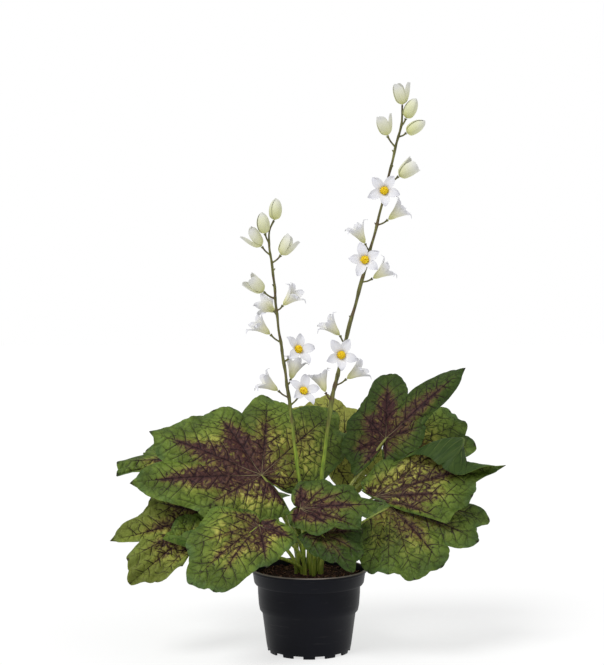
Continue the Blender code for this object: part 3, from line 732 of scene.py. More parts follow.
def makePetiole(name, leaf, blade):
    x, y = leaf["base"]
    rise = (blade.seat.z - stalkForm["soilTop"]) * stalkForm["rise"]
    shape = [(x, y, stalkForm["free"]), (x, y, stalkForm["free"] + rise), leaf["bend"], blade.seat]
    main = max(range(1, blade.count - 1), key=lambda index: blade.vein(index).length)
    samples = stalkForm["samples"]
    route = [Vector((x, y, stalkForm["foot"]))]
    route += [bezier(shape, step / samples) for step in range(samples + 1)]
    thick = stalkForm["radius"]
    radii = np.linspace(thick, thick * stalkForm["top"], len(route)).tolist()
    behind = blade.facing(main, 0.0) * stalkForm["behind"]
    route[-1] = route[-1] + behind
    for step in (0.33, 0.66, 1.0):
        route.append(blade.plainPlace(main, stalkForm["reach"] * step) + behind)
        radii.append(thick * stalkForm["top"] * (1 - step) + stalkForm["tip"] * step)
    return tubePiece(name, route, radii, 4)


def leafTopFinish():
    look = {
        "margin": rgb(94, 118, 46), "blue": rgb(66, 92, 56), "green": rgb(122, 134, 50),
        "yellow": rgb(176, 174, 84), "orange": rgb(150, 98, 42), "flush": rgb(80, 44, 46),
        "deep": rgb(48, 22, 30), "vein": rgb(28, 8, 14), "pale": rgb(150, 136, 96),
        "shade": rgb(44, 60, 14), "tan": rgb(122, 96, 52), "dull": rgb(38, 58, 16),
        "netSize": 9.0, "meshSize": 3.8, "wander": 15.0,
    }
    finish = Finish("leafTop", roughness=0.5, specular=0.16)
    flat = finish.uv("flat")
    count, away, _ = finish.parts(finish.uv("vein"))
    reach = finish.attribute("reach")
    flush = finish.attribute("flush")
    warm = finish.attribute("warm")
    dull = finish.attribute("dull")
    wander = finish.noise(flat, 0.1, 4, "Color")
    bent = flat.moved(wander.moved((-0.5, -0.5, -0.5)).times(look["wander"]))
    patch = finish.noise(flat, 0.045, 3)
    broad = finish.noise(flat.moved((71.0, 13.0, 0.0)), 0.032, 2)
    fine = finish.noise(flat, 0.3, 4)
    grain = finish.noise(flat, 1.6, 3)
    net = finish.cellEdge(bent, look["netSize"])
    mesh = finish.cellEdge(bent, look["meshSize"])
    cell = finish.cellTone(bent, look["netSize"])
    small = finish.cellTone(bent, look["meshSize"])
    inner = 1 - reach.step(0.84, 1.0)
    away = abs(away + (fine - 0.5) * reach * 3.0)

    # dark veins, from the main ones to the net between them
    side = abs(count.fraction() - 0.5)
    fork = (1 - reach.step(0.84, 0.99)) * reach.step(0.06, 0.2)
    mainVein = away.line(0.26, 0.7) * (1 - reach.step(0.76, 0.98)) * (0.45 + 0.55 * fine.step(0.35, 0.5))
    sideVein = side.line(0.026, 0.034) * fork
    thick = fine.step(0.35, 0.7) * 0.34 - 0.06
    netVein = net.line(thick, 0.36) * inner * (0.25 + 0.75 * patch.step(0.34, 0.5))
    meshVein = mesh.line(thick * 0.5 - 0.08, 0.3) * (1 - reach.step(0.6, 0.92))
    dark = mainVein.larger(sideVein).larger(netVein).larger(meshVein * 0.6)

    # green blade, yellower in the middle of each cell and bluer at the margin, with painted shade over it
    sun = (patch * 0.7 + cell * 0.3).step(0.32, 0.62) * (1 - reach.step(0.5, 0.92)) * net.step(0.3, 2.4)
    green = finish.mix(look["green"], look["yellow"], sun)
    green = finish.mix(green, look["orange"], warm * flush.step(0.03, 0.5) * fine.step(0.3, 0.7) * 0.8)
    green = finish.mix(green, look["margin"], reach.step(0.5, 0.92) * (0.5 + 0.5 * fine))
    green = finish.mix(green, look["blue"], reach.step(0.86, 1.0) * patch.step(0.42, 0.6) * 0.7)
    # painted shade: darker green in broad slow patches, and along the sunk net veins, with a random grain
    # mottle
    green = finish.mix(green, look["shade"], (1 - broad.step(0.38, 0.6)) * 0.55)
    green = finish.mix(green, look["shade"], net.line(0.1, 1.8) * 0.3 + grain.step(0.45, 0.8) * 0.3)
    # painted shade over the whole leaf by its dull number, and painted light where that is below 0
    green = finish.mix(green, look["dull"], dull * (0.5 + 0.5 * fine))
    green = finish.mix(green, look["yellow"], (dull * -1.0).clamped() * (0.4 + 0.6 * fine))

    # the burgundy flush follows the veins out and feathers along the net
    ink = (mesh.line(0.0, 1.1) * 0.55).larger(net.line(0.0, 2.4) * 0.9).larger(side.line(0.0, 0.14) * fork)
    ink = ink.larger(away.line(0.5, 4.5))
    veil = flush.step(0.04, 0.5) * (0.06 + 0.6 * ink) * (0.3 + 0.7 * fine.step(0.35, 0.62))
    green = finish.mix(green, look["tan"], veil * (1 - reach.step(0.7, 0.95)))
    spread = flush * (0.6 + 0.6 * ink) + (fine - 0.5) * 0.8 + (patch - 0.5) * 0.9 + (small - 0.5) * 0.3
    cover = spread.step(0.2, 0.76)
    stain = finish.mix(look["flush"], look["deep"], fine.step(0.4, 0.6) * 0.55 + ink * 0.45)
    speck = (1 - ink) * small.step(0.35, 0.8) * (1 - spread.step(0.85, 1.25)) * 0.6
    stain = finish.mix(stain, finish.mix(look["tan"], look["green"], fine.step(0.4, 0.6) * 0.7), speck)
    colour = finish.mix(green, stain, cover * 0.94)
    colour = finish.mix(colour, look["vein"], dark * (flush.step(0.0, 0.15) * 0.2 + 0.76))
    pale = away.line(0.1, 0.35) * (1 - reach.step(0.1, 0.3))
    colour = finish.mix(colour, look["pale"], pale * 0.55)
    colour = finish.mix(colour, look["vein"], reach.step(0.965, 0.99) * away.line(0.5, 2.0) * 0.8)
    finish.set("Base Color", colour)
    finish.set("Roughness", 0.42 + fine * 0.2)
    height = net.step(0.0, 3.0) * 0.5 + side.step(0.0, 0.2) * 0.7 + mesh.step(0.0, 1.2) * 0.2
    finish.bump(height + away.step(0.0, 1.6) * 0.4 + grain * 0.12 + broad * 1.2, 0.0013, 0.85)
    return finish.material


def leafUnderFinish():
    look = {
        "dark": rgb(80, 106, 42), "light": rgb(110, 134, 60), "blush": rgb(84, 60, 50),
        # rolled is the painted shade colour of the curled tip's underside
        "net": rgb(52, 72, 34), "rib": rgb(124, 132, 76), "rolled": rgb(30, 50, 14),
        "netSize": 9.0, "wander": 15.0,
    }
    finish = Finish("leafUnderside", roughness=0.55, specular=0.16)
    flat = finish.uv("flat")
    count, away, _ = finish.parts(finish.uv("vein"))
    reach = finish.attribute("reach")
    rolled = finish.attribute("rolled")
    patch = finish.noise(flat, 0.05, 3)
    fine = finish.noise(flat, 0.3, 4)
    wander = finish.noise(flat, 0.1, 4, "Color").times(look["wander"])
    net = finish.cellEdge(flat.moved(wander), look["netSize"])
    away = abs(away)
    side = abs(count.fraction() - 0.5)
    fork = (1 - reach.step(0.84, 0.99)) * reach.step(0.06, 0.2)
    ribs = (away.line(0.5, 1.3) * (1 - reach.step(0.7, 1.0))).larger(side.line(0.03, 0.05) * fork * 0.7)
    blush = away.line(1.0, 9.0) * fine.step(0.3, 0.7) * (1 - reach) * 0.6
    colour = finish.mix(look["dark"], look["light"], patch.step(0.35, 0.65))
    colour = finish.mix(colour, look["blush"], blush)
    colour = finish.mix(colour, look["net"], net.line(0.1, 0.9) * 0.6)
    colour = finish.mix(colour, look["rib"], ribs * 0.6)
    # painted shade: the rolled-over tip's underside darkened as if in the hollow of its curl
    colour = finish.mix(colour, look["rolled"], rolled * (0.85 - 0.35 * ribs))
    finish.set("Base Color", colour)
    finish.bump(ribs + net.line(0.1, 1.0) * 0.4, 0.0008, 0.7)
    return finish.material


def petioleFinish():
    look = {"dark": rgb(104, 122, 34), "light": rgb(148, 158, 60), "upper": rgb(120, 112, 66)}
    finish = Finish("petioleSkin", roughness=0.45, specular=0.4)
    spot = finish.spot()
    streak = finish.noise(spot.stretched((900, 900, 60)), 1.0, 3)
    height = finish.parts(spot)[2]
    colour = finish.mix(look["dark"], look["light"], streak.step(0.35, 0.65))
    colour = finish.mix(colour, look["upper"], height.step(0.12, 0.2) * 0.5)
    finish.set("Base Color", colour)
    finish.bump(streak, 0.0004, 0.3)
    return finish.material


def makeLeaves():
    top = leafTopFinish()
    under = leafUnderFinish()
    skin = petioleFinish()
    for number, (node, leaf) in enumerate(leafPlaces.items()):
        name = pieceName(node)
        blade, sheet = makeBlade(name + "Blade", leaf, number + 1)
        dress(sheet, top, under)
        applyModifier(
            sheet, "SOLIDIFY", thickness=leafForm["thickness"] * mm, offset=0.0,
            material_offset=1, material_offset_rim=0)
        stalk = makePetiole(name + "Stalk", leaf, blade)
        dress(stalk, skin)
        whole = joined([sheet, stalk], name)
        smooth(whole, 60)
        place(whole, node)
    print("leaves made:", len(leafPlaces))


def pieceName(node):
    words = node.split("_")
    return words[0] + "".join(word.capitalize() for word in words[1:])


# flower stems with their side stalks

stemPlaces = {
    "stem_left": dict(
        radii=(2.1, 1.5, 0.9), base=(-5, -4), nubs=[(-12, -12, 200), (-38, -10, 392), (-36, -10, 377)],
        route=[(-6, -8, 118), (-9, -12, 168), (-14, -12, 206), (-20, -11, 256), (-26, -10, 298),
               (-33, -10, 346), (-37, -10, 390), (-41, -10, 420), (-41, -10, 436), (-36, -10, 446)]),
    "stem_right": dict(
        radii=(2.3, 1.7, 1.0), base=(6, -3),
        nubs=[(86, -6, 520), (86, -6, 498), (70, -6, 441), (51, -6, 369), (47, -6, 342)],
        route=[(7, -6, 118), (12, -8, 170), (17, -8, 212), (24, -7, 262), (32, -6, 296),
               (38, -6, 322), (50, -6, 366), (57, -6, 392), (70, -6, 440), (82, -6, 489),
               (89, -6, 519), (96, -6, 548), (97, -6, 566)]),
}

stemForm = {
    "samples": 90, "knuckle": 0.34, "knuckleSpan": 4.5, "wobble": 0.25, "wobblePitch": 0.9, "calm": 20,
    "pedicel": 0.9, "pedicelSamples": 12, "foot": 1.35, "flares": (1.1, 1.5, 1.9), "bend": 0.55,
    "sag": 1.0, "gap": 0.3, "nub": (2.6, -0.6, 2.6), "nubRadii": (1.2, 0.9, 0.3),
}

# each bloom: its kind, the foot and the tip of its side stalk, and where the flower faces

bloomPlaces = {
    "bloom_left_01": ("bud", None, (-36, -10, 446.3), (0.1, -0.1, 1)),
    "bloom_left_02": ("bud", (-42, -10, 424), (-45.5, -14, 432), (-0.15, -0.35, 1)),
    "bloom_left_03": ("parting", (-40, -10, 411), (-49, -11, 419), (-0.7, -0.1, 0.7)),
    "bloom_left_04": ("parting", (-38, -10, 400), (-29, -12, 410), (0.55, -0.1, 0.8)),
    "bloom_left_05": ("parting", (-35, -10, 364), (-47, -12, 372), (-0.75, -0.2, 0.65)),
    "bloom_left_06": ("trumpet", (-34, -10, 353), (-27, -13, 358), (0.75, -0.35, 0.7)),
    "bloom_left_07": ("trumpet", (-33, -10, 348), (-36, 0, 352), (-0.5, 0.75, 0.35)),
    "bloom_left_08": ("trumpet", (-30, -10, 321), (-40, -12, 328), (-0.75, -0.25, 0.6)),
    "bloom_left_09": ("open", (-26, -10, 298), (-15, -14, 309), (0.5, -0.85, 0.45)),
    "bloom_left_10": ("trumpet", (-24, -10, 276), (-19, -3, 281), (0.25, 0.4, 0.9)),
    "bloom_left_11": ("trumpet", (-21, -10, 262), (-32, -12, 270), (-0.8, -0.2, 0.55)),
    "bloom_left_12": ("open", (-20, -11, 256), (-9, -16, 266), (0.4, -0.85, 0.5)),
    "bloom_right_01": ("parting", None, (97, -6, 566.3), (-0.1, -0.15, 1)),
    "bloom_right_02": ("bud", (95, -6, 545), (100.5, -8, 552), (0.45, -0.1, 0.9)),
    "bloom_right_03": ("bud", (92, -6, 531), (101, -8, 537), (0.85, -0.15, 0.5)),
    "bloom_right_04": ("parting", (89, -6, 520), (81, -8, 534), (-0.25, -0.2, 1)),
    "bloom_right_05": ("parting", (83, -6, 484), (93, -8, 492), (0.8, -0.1, 0.6)),
    "bloom_right_06": ("open", (79, -6, 478), (77.5, -13, 475), (-0.05, -1, 0.05)),
    "bloom_right_07": ("trumpet", (70, -6, 440), (82, -8, 447), (0.75, -0.1, 0.6)),
    "bloom_right_08": ("trumpet", (63, -6, 414), (58, -9, 422), (-0.5, -0.2, 0.85)),
    "bloom_right_09": ("open", (60, -6, 404), (58, -14, 404), (-0.1, -1, 0.05)),
    "bloom_right_10": ("trumpet", (55, -6, 381), (66, -8, 386), (0.8, -0.15, 0.55)),
    "bloom_right_11": ("trumpet", (38, -6, 320), (32, -8, 327), (-0.7, -0.2, 0.7)),
    "bloom_right_12": ("open", (34, -6, 305), (32.5, -14, 306), (0.05, -1, 0.1)),
    "bloom_right_13": ("trumpet", (27, -6, 272), (39, -8, 282), (0.8, -0.2, 0.55)),
    "bloom_right_14": ("trumpet", (23, -7, 258), (17, -8, 268), (-0.35, 0.1, 0.95)),
}


def smoothRoute(points, samples):
    # points along a smooth curve through the given ones, evenly spaced along it
    corners = np.array(points, float)
    legs = np.linalg.norm(np.diff(corners, axis=0), axis=1)
    places = np.concatenate([[0], np.cumsum(legs)])
    slopes = np.gradient(corners, places, axis=0)
    route = []
    for spot in np.linspace(0, places[-1], samples):
        leg = min(int(np.searchsorted(places, spot, side="right")) - 1, len(legs) - 1)
        t = (spot - places[leg]) / legs[leg]
        start, end = corners[leg], corners[leg + 1]
        pullStart, pullEnd = slopes[leg] * legs[leg], slopes[leg + 1] * legs[leg]
        route.append(Vector(
            start * (2 * t ** 3 - 3 * t ** 2 + 1) + pullStart * (t ** 3 - 2 * t ** 2 + t)
            + end * (3 * t ** 2 - 2 * t ** 3) + pullEnd * (t ** 3 - t ** 2)))
    return route


def nearestOn(route, spot):
    return min(route, key=lambda point: (point - Vector(spot)).length)


def makeStem(node, stem, skin):
    name = pieceName(node)
    side = node.split("_")[1]
    x, y = stem["base"]
    route = smoothRoute([(x, y, stalkForm["free"]), *stem["route"]], stemForm["samples"])
    feet = [bloom[1] for bloom in bloomPlaces.values() if bloom[1]]
    knots = [nearestOn(route, foot) for foot in [*feet, *stem["nubs"]]]
    radii = np.interp(np.linspace(0, 1, len(route)), [0, 0.5, 1], stem["radii"]).tolist()
    for index, point in enumerate(route):
        nearest = min((point - knot).length for knot in knots)
        radii[index] *= 1 + stemForm["knuckle"] * math.exp(-(nearest / stemForm["knuckleSpan"]) ** 2)
        sway = math.sin(index * stemForm["wobblePitch"]) * stemForm["wobble"]
        sway *= min(1, index / stemForm["calm"])
        route[index] = point + Vector((sway, 0, 0))
    route.insert(0, Vector((x, y, stalkForm["foot"])))
    radii.insert(0, stem["radii"][0])
    pieces = [tubePiece(name + "Spike", route, radii, 4)]
    for bloom, (_, foot, tip, facing) in bloomPlaces.items():
        if side not in bloom or foot is None:
            continue
        root = nearestOn(route, foot)
        way = Vector(facing).normalized()
        end = Vector(tip) - way * stemForm["gap"]
        middle = root.lerp(end, stemForm["bend"]) - Vector((0, 0, stemForm["sag"]))
        thick = stemForm["pedicel"]
        samples = stemForm["pedicelSamples"]
        swollen = stemForm["foot"]
        thickness = [thick * (swollen - (swollen - 1) * min(1, step / 3)) for step in range(samples)]
        thickness[-3:] = [thick * flare for flare in stemForm["flares"]]
        pieces.append(tubePiece(bloom + "Stalk", smoothRoute([root, middle, end], samples), thickness, 3))
    for index, nub in enumerate(stem["nubs"]):
        root = nearestOn(route, nub)
        way = Vector(stemForm["nub"])
        if index % 2 == 0:
            way.x = -way.x
        pieces.append(tubePiece(name + "Nub", [root, root + way * 0.6, root + way], stemForm["nubRadii"], 2))
    whole = joined(pieces, name)
    dress(whole, skin)
    smooth(whole, 60)
    place(whole, node)


def stemFinish():
    look = {
        "green": rgb(92, 116, 28), "greenLight": rgb(132, 150, 46), "olive": rgb(74, 72, 36),
        "oliveLight": rgb(112, 112, 58), "blotch": rgb(82, 58, 44),
    }
    finish = Finish("stemSkin", roughness=0.5, specular=0.35)
    spot = finish.spot()
    height = finish.parts(spot)[2]
    streak = finish.noise(spot.stretched((500, 500, 70)), 1.0, 3)
    blotch = finish.noise(spot, 90, 3)
    green = finish.mix(look["green"], look["greenLight"], streak.step(0.35, 0.65))
    olive = finish.mix(look["olive"], look["oliveLight"], streak.step(0.35, 0.65))
    olive = finish.mix(olive, look["blotch"], blotch.step(0.5, 0.66) * 0.7)
    colour = finish.mix(green, olive, (height + (blotch - 0.5) * 0.06).step(0.2, 0.27))
    finish.set("Base Color", colour)
    finish.bump(streak + blotch * 0.5, 0.0005, 0.4)
    return finish.material


def makeStems():
    skin = stemFinish()
    for node, stem in stemPlaces.items():
        makeStem(node, stem, skin)
    print("stems made:", len(stemPlaces))


# blooms: petals are strips of a turned form, with their own width along it

bloomKinds = {
    "bud": dict(
        petals=3, profile=[(0, 0), (4.4, 2.4), (6.1, 7.5), (5.9, 13.5), (3.4, 19.2), (0.6, 22.2)],
        widths=[(0, 2), (0.2, 7.4), (0.5, 8.4), (0.8, 5.4), (1, 0.3)], spiral=0.6, cup=0.0, tube=0.0,
        wild=0.0),
    "parting": dict(
        petals=3, profile=[(0, 0), (4.4, 2.6), (7.2, 8.6), (8.6, 14.5), (9.4, 20.4)],
        widths=[(0, 2.5), (0.25, 6.6), (0.6, 8.4), (0.84, 7.2), (0.95, 4.8), (1, 1.6)],
        spiral=0.7, cup=1.0, tube=0.3, wild=0.7),
    "trumpet": dict(
        petals=5, profile=[(0, 0), (2.2, 3.2), (3.8, 8), (5.6, 12.6), (8.8, 18), (12.2, 21.2), (16, 19.6)],
        widths=[(0, 1.4), (0.3, 3.2), (0.52, 5.0), (0.7, 5.2), (0.8, 3.2), (0.88, 1.0), (1, 0.15)],
        spiral=0.3, cup=0.8, tube=0.5, wild=0.8),
    "open": dict(
        petals=5, profile=[(0, 0), (2.1, 3), (3.6, 7), (6.0, 9.8), (11, 11.4), (16, 11.6), (18.4, 10.9)],
        widths=[(0, 1.0), (0.3, 2.8), (0.5, 4.7), (0.7, 5.9), (0.88, 4.3), (0.97, 1.6), (1, 0.15)],
        spiral=0.35, cup=1.3, tube=0.36, wild=0.8),
}

petalForm = {
    "across": 14, "along": 22, "thickness": 0.35, "lap": 1.5, "spread": 0.12, "heart": (24, 16),
    "heartGap": 1.6, "length": (-0.13, 0.05), "ruffle": 0.25, "ruffles": 5, "ruffleRange": (0.6, 1.4),
    "lift": (-1.6, 2.4), "twist": (-1.0, 1.0), "leastRadius": 0.4, "ruffleTurn": 0.35, "soften": 5,
    "patternShift": 13.0,
    "spins": {"bloom_left_09": 1.75, "bloom_left_12": 1.75, "bloom_right_06": -1.5,
              "bloom_right_09": 1.65, "bloom_right_12": -1.5},
}


def smoothCurve(points, samples):
    # a smooth run through two-number points
    route = smoothRoute([(first, second, 0) for first, second in points], samples)
    return np.array([(point.x, point.y) for point in route])


def petalSheet(name, shape, number, spin, rng):
    # one petal in the bloom's own frame, with the bloom facing up
    rows = petalForm["along"]
    columns = petalForm["across"]
    sheet, column, row = gridPiece(name, columns, rows)
    line = smoothCurve(shape["profile"], rows + 1)
    share = np.linspace(0, 1, rows + 1)
    places, widths = zip(*shape["widths"])
    width = np.interp(share, places, widths)
    soften = petalForm["soften"]
    width = np.convolve(np.pad(width, soften // 2, mode="edge"), np.ones(soften) / soften, mode="valid")
    width[-1] = widths[-1]
    radius, height = line[:, 0], line[:, 1]
    across = (column / columns) * 2 - 1
    rowRadius = np.maximum(radius[row], petalForm["leastRadius"])
    halfTurn = np.minimum(width[row] / rowRadius, math.pi / shape["petals"] * petalForm["lap"])
    wild = shape["wild"]
    drift = petalForm["spread"] * wild * rng.uniform(-1, 1)
    azimuth = spin + 2 * math.pi * (number + drift) / shape["petals"]
    turn = azimuth + across * halfTurn
    free = smoothStep(shape["tube"], 1.0, share[row])
    edge = across * np.minimum(1.0, 3 * width[row] / width.max())
    out = radius[row] + shape["spiral"] * edge * smoothStep(-0.1, 0.12, share[row])
    out = out * (1 + wild * rng.uniform(*petalForm["length"]) * free)
    cup = shape["cup"] * edge ** 2 * free
    phase = number * 2 + row * petalForm["ruffleTurn"]
    ruffle = petalForm["ruffle"] * np.sin(edge * petalForm["ruffles"] + phase)
    ruffle = ruffle * free * rng.uniform(*petalForm["ruffleRange"])
    sway = wild * rng.uniform(*petalForm["lift"]) * free ** 2
    sway = sway + wild * rng.uniform(*petalForm["twist"]) * edge * free
    out = out - cup * 0.5
    up = height[row] + cup + ruffle + sway
    points = np.stack([out * np.cos(turn), out * np.sin(turn), up], axis=1)
    moveTo(sheet, points)
    pointValues(sheet, along=share[row])
    unrolled = np.stack([across * width[row], share[row] * rows], axis=1)[cornerPoints(sheet)]
    cornerMap(sheet, "flat", unrolled + number * petalForm["patternShift"])
    return sheet


def standAt(piece, tip, facing, lift=0.0):
    # turns a piece made facing up to the bloom's own way, and stands it on its stalk
    way = Vector(facing).normalized()
    turned = Vector((0, 0, 1)).rotation_difference(way).to_matrix().to_4x4()
    piece.data.transform(Matrix.Translation((Vector(tip) + way * lift) * mm) @ turned)
    piece.data.update()


def makeBloom(node, finishes, rng):
    kind, _, tip, facing = bloomPlaces[node]
    shape = bloomKinds[kind]
    spin = petalForm["spins"].get(node, rng.uniform(0, 6.28))
    petals = [petalSheet(f"{node}Petal{number}", shape, number, spin, rng)
              for number in range(shape["petals"])]
    if kind == "bud":
        petals.append(budHeart(node, shape))
    whole = joined(petals, pieceName(node))
    applyModifier(whole, "SOLIDIFY", thickness=petalForm["thickness"] * mm, offset=0.0)
    dress(whole, finishes[kind])
    smooth(whole, 70)
    standAt(whole, tip, facing, petalForm["thickness"] / 2)
    place(whole, node)


def budHeart(node, shape):
    # the closed middle that a bud's petals wrap
    columns, rows = petalForm["heart"]
    heart, column, row = gridPiece(node + "Heart", columns, rows)
    line = smoothCurve(shape["profile"], rows + 1)
    turn = 2 * math.pi * column / columns
    out = np.maximum(line[row, 0] - petalForm["heartGap"], 0.0)
    moveTo(heart, np.stack([out * np.cos(turn), out * np.sin(turn), line[row, 1]], axis=1))
    pointValues(heart, along=row / rows)
    weld(heart)
    return heart


petalLooks = {
    "bud": dict(name="budSkin", tip=rgb(214, 215, 188), base=rgb(204, 206, 156),
                heart=rgb(192, 194, 104), reach=(0.3, 0.9)),
    "parting": dict(name="partingSkin", tip=rgb(220, 220, 204), base=rgb(208, 208, 164),
                    heart=rgb(192, 194, 104), reach=(0.3, 0.9)),
    "trumpet": dict(name="trumpetSkin", tip=rgb(222, 222, 226), base=rgb(222, 219, 184),
                    heart=rgb(192, 194, 104), reach=(0.3, 0.8)),
    "open": dict(name="petalWhite", tip=rgb(222, 222, 226), base=rgb(224, 216, 172),
                 heart=rgb(208, 186, 84), reach=(0.12, 0.42)),
}

# painted shade colour for the petal ends, and the ribs' own grey
petalShadeAndRibs = {"end": rgb(198, 198, 208), "rib": rgb(188, 188, 198)}


def petalFinish(look):
    # from the heart's colour over the base's to the tip's, with painted shade greying the ends and faint ribs
    finish = Finish(look["name"], roughness=0.6, specular=0.25)
    flat = finish.uv("flat")
    along = finish.attribute("along")
    ribs = finish.noise(flat.stretched((2.2, 0.12, 1)), 1.0, 2)
    soft = finish.noise(flat, 0.16, 2)
    reached = along + (soft - 0.5) * 0.2
    colour = finish.mix(look["base"], look["tip"], reached.step(*look["reach"]))
    colour = finish.mix(colour, look["heart"], (1 - reached.step(0.04, 0.42)) * 0.75)
    # painted shade: the petal ends greyed towards their tips
    colour = finish.mix(colour, petalShadeAndRibs["end"], along.step(0.7, 1.0) * 0.45)
    colour = finish.mix(colour, petalShadeAndRibs["rib"], ribs.step(0.45, 0.7) * 0.3)
    finish.set("Base Color", colour)
    finish.set("Sheen Weight", 0.15)
    finish.bump(ribs, 0.0004, 0.35)
    return finish.material


stamenForm = {
    "anthers": 44, "radius": 4.3, "low": 7.2, "rise": 5.8, "size": (0.75, 1.3), "lean": 0.5,
    "neck": [(0, 0, 3.2), (0, 0, 6), (0, 0, 9.4)], "neckRadii": (0.8, 2.0, 3.3),
}


def makeStamens(node, skin, rng):
    # a mound of small anthers on a short neck
    _, _, tip, facing = bloomPlaces[node]
    pieces = []
    wide, tall = stamenForm["size"]
    lean = stamenForm["lean"]
    turn = math.pi * (3 - math.sqrt(5))
    for number in range(stamenForm["anthers"]):
        share = (number + 0.5) / stamenForm["anthers"]
        out = stamenForm["radius"] * math.sqrt(share)
        up = stamenForm["low"] + stamenForm["rise"] * (1 - share ** 1.5) * rng.uniform(0.8, 1.05)
        spot = (out * math.cos(number * turn) * mm, out * math.sin(number * turn) * mm, up * mm)
        anther = added(bpy.ops.mesh.primitive_ico_sphere_add, subdivisions=2, radius=mm, location=spot)
        anther.scale = (wide, wide, tall)
        anther.rotation_euler = (rng.uniform(-lean, lean), rng.uniform(-lean, lean), 0)
        settle(anther)
        pieces.append(anther)
    neck = tubePiece(node + "Neck", stamenForm["neck"], stamenForm["neckRadii"], 5)
    whole = joined([*pieces, neck], pieceName(node.replace("bloom", "stamens")))
    dress(whole, skin)
    smooth(whole, 80)
    standAt(whole, tip, facing)
    place(whole, node.replace("bloom", "stamens"))


def stamenFinish():
    look = {"yellow": rgb(222, 176, 10), "light": rgb(246, 222, 50), "shade": rgb(176, 104, 20)}
    finish = Finish("antherYellow", roughness=0.7, specular=0.2)
    grain = finish.noise(finish.spot(), 900, 3)
    colour = finish.mix(look["yellow"], look["light"], grain.step(0.35, 0.6))
    colour = finish.mix(colour, look["shade"], (1 - grain.step(0.28, 0.4)) * 0.7)
    finish.set("Base Color", colour)
    finish.bump(grain, 0.0003, 0.5)
    return finish.material


def makeBlooms():
    rng = random.Random(11)
    finishes = {kind: petalFinish(look) for kind, look in petalLooks.items()}
    anther = stamenFinish()
    for node, bloom in bloomPlaces.items():
        makeBloom(node, finishes, rng)
        if bloom[0] == "open":
            makeStamens(node, anther, rng)
    print("blooms made:", len(bloomPlaces))


# pot: a turned wall with a rolled rim, a raised floor with drain holes and a notched foot

potForm = {
    "steps": 144, "height": 85.0, "wall": 1.3, "lipWidth": 1.8, "lipEdge": 0.8, "footHeight": 3.0,
    "footWidth": 1.8, "floor": 1.3, "notches": 12, "notchWidth": 10.5, "drains": 4,
    "drainRadius": 4.0, "drainRing": 26.0, "round": 0.5, "notchDepth": 8.0, "notchHeight": 5.7,
    "drainCut": 10.0, "drainMiddle": 3.6, "sharp": 40,
    "profile": [(60, 84.2), (60, 82), (58.8, 81.2), (57.2, 71), (56, 69.2), (53.4, 68.6), (53.2, 60),
                (52.3, 48), (51.2, 42.5), (48.6, 39.5), (44.2, 7), (42.8, 0)],
    "bends": (81.2, 71.0, 68.6, 42.5, 39.5),
}


def potRadius(height):
    # the outer wall's radius at a height
    radii, heights = zip(*reversed(potForm["profile"]))
    return float(np.interp(height, heights, radii))


def potOutline():
    # (radius, height) round the cut wall, from the floor's middle over the lip to the foot
    profile = potForm["profile"]
    floorTop = potForm["footHeight"] + potForm["floor"]
    inside = [(potRadius(height) - potForm["wall"], height)
              for height in [floorTop, *sorted(potForm["bends"])]]
    lip = [(profile[0][0] - potForm["lipWidth"], potForm["height"]),
           (profile[0][0] - potForm["lipEdge"], potForm["height"])]
    foot = profile[-1][0] - potForm["footWidth"]
    under = [(foot, 0), (foot, potForm["footHeight"]), (0, potForm["footHeight"])]
    return [(0, floorTop), *inside, *lip, *profile, *under]


def makePot():
    outline = potOutline()
    pot = added(
        bpy.ops.mesh.primitive_circle_add, vertices=len(outline), radius=0.05, fill_type="NOTHING")
    for vertex, (radius, height) in zip(pot.data.vertices, outline):
        vertex.co = (radius * mm, 0, height * mm)
    applyModifier(
        pot, "SCREW", steps=potForm["steps"], render_steps=potForm["steps"], use_merge_vertices=True,
        merge_threshold=1e-5, use_smooth_shade=False)
    weld(pot, 1e-5)
    outward(pot)
    cutters = []
    foot = potForm["profile"][-1][0] - potForm["footWidth"] / 2
    for index in range(potForm["notches"]):
        turn = 2 * math.pi * (index + 0.5) / potForm["notches"]
        cutters.append(added(
            bpy.ops.mesh.primitive_cube_add, size=1, rotation=(0, 0, turn),
            scale=[potForm[part] * mm for part in ("notchDepth", "notchWidth", "notchHeight")],
            location=(foot * math.cos(turn) * mm, foot * math.sin(turn) * mm, 0)))
    for index in range(potForm["drains"]):
        turn = 2 * math.pi * (index + 0.5) / potForm["drains"]
        ring = potForm["drainRing"] * mm
        cutters.append(added(
            bpy.ops.mesh.primitive_cylinder_add, vertices=32, radius=potForm["drainRadius"] * mm,
            depth=potForm["drainCut"] * mm,
            location=(ring * math.cos(turn), ring * math.sin(turn), potForm["drainMiddle"] * mm)))
    cutter = joined(cutters, "potCutter")
    settle(cutter)
    applyModifier(pot, "BOOLEAN", operation="DIFFERENCE", object=cutter, solver="EXACT")
    bpy.data.objects.remove(cutter, do_unlink=True)
    applyModifier(
        pot, "BEVEL", width=potForm["round"] * mm, segments=2, limit_method="ANGLE",
        angle_limit=math.radians(potForm["sharp"]), harden_normals=False)
    pot.name = "potShell"
    dress(pot, potFinish())
    smooth(pot, 35)
    place(pot, "pot")
    print("pot made")


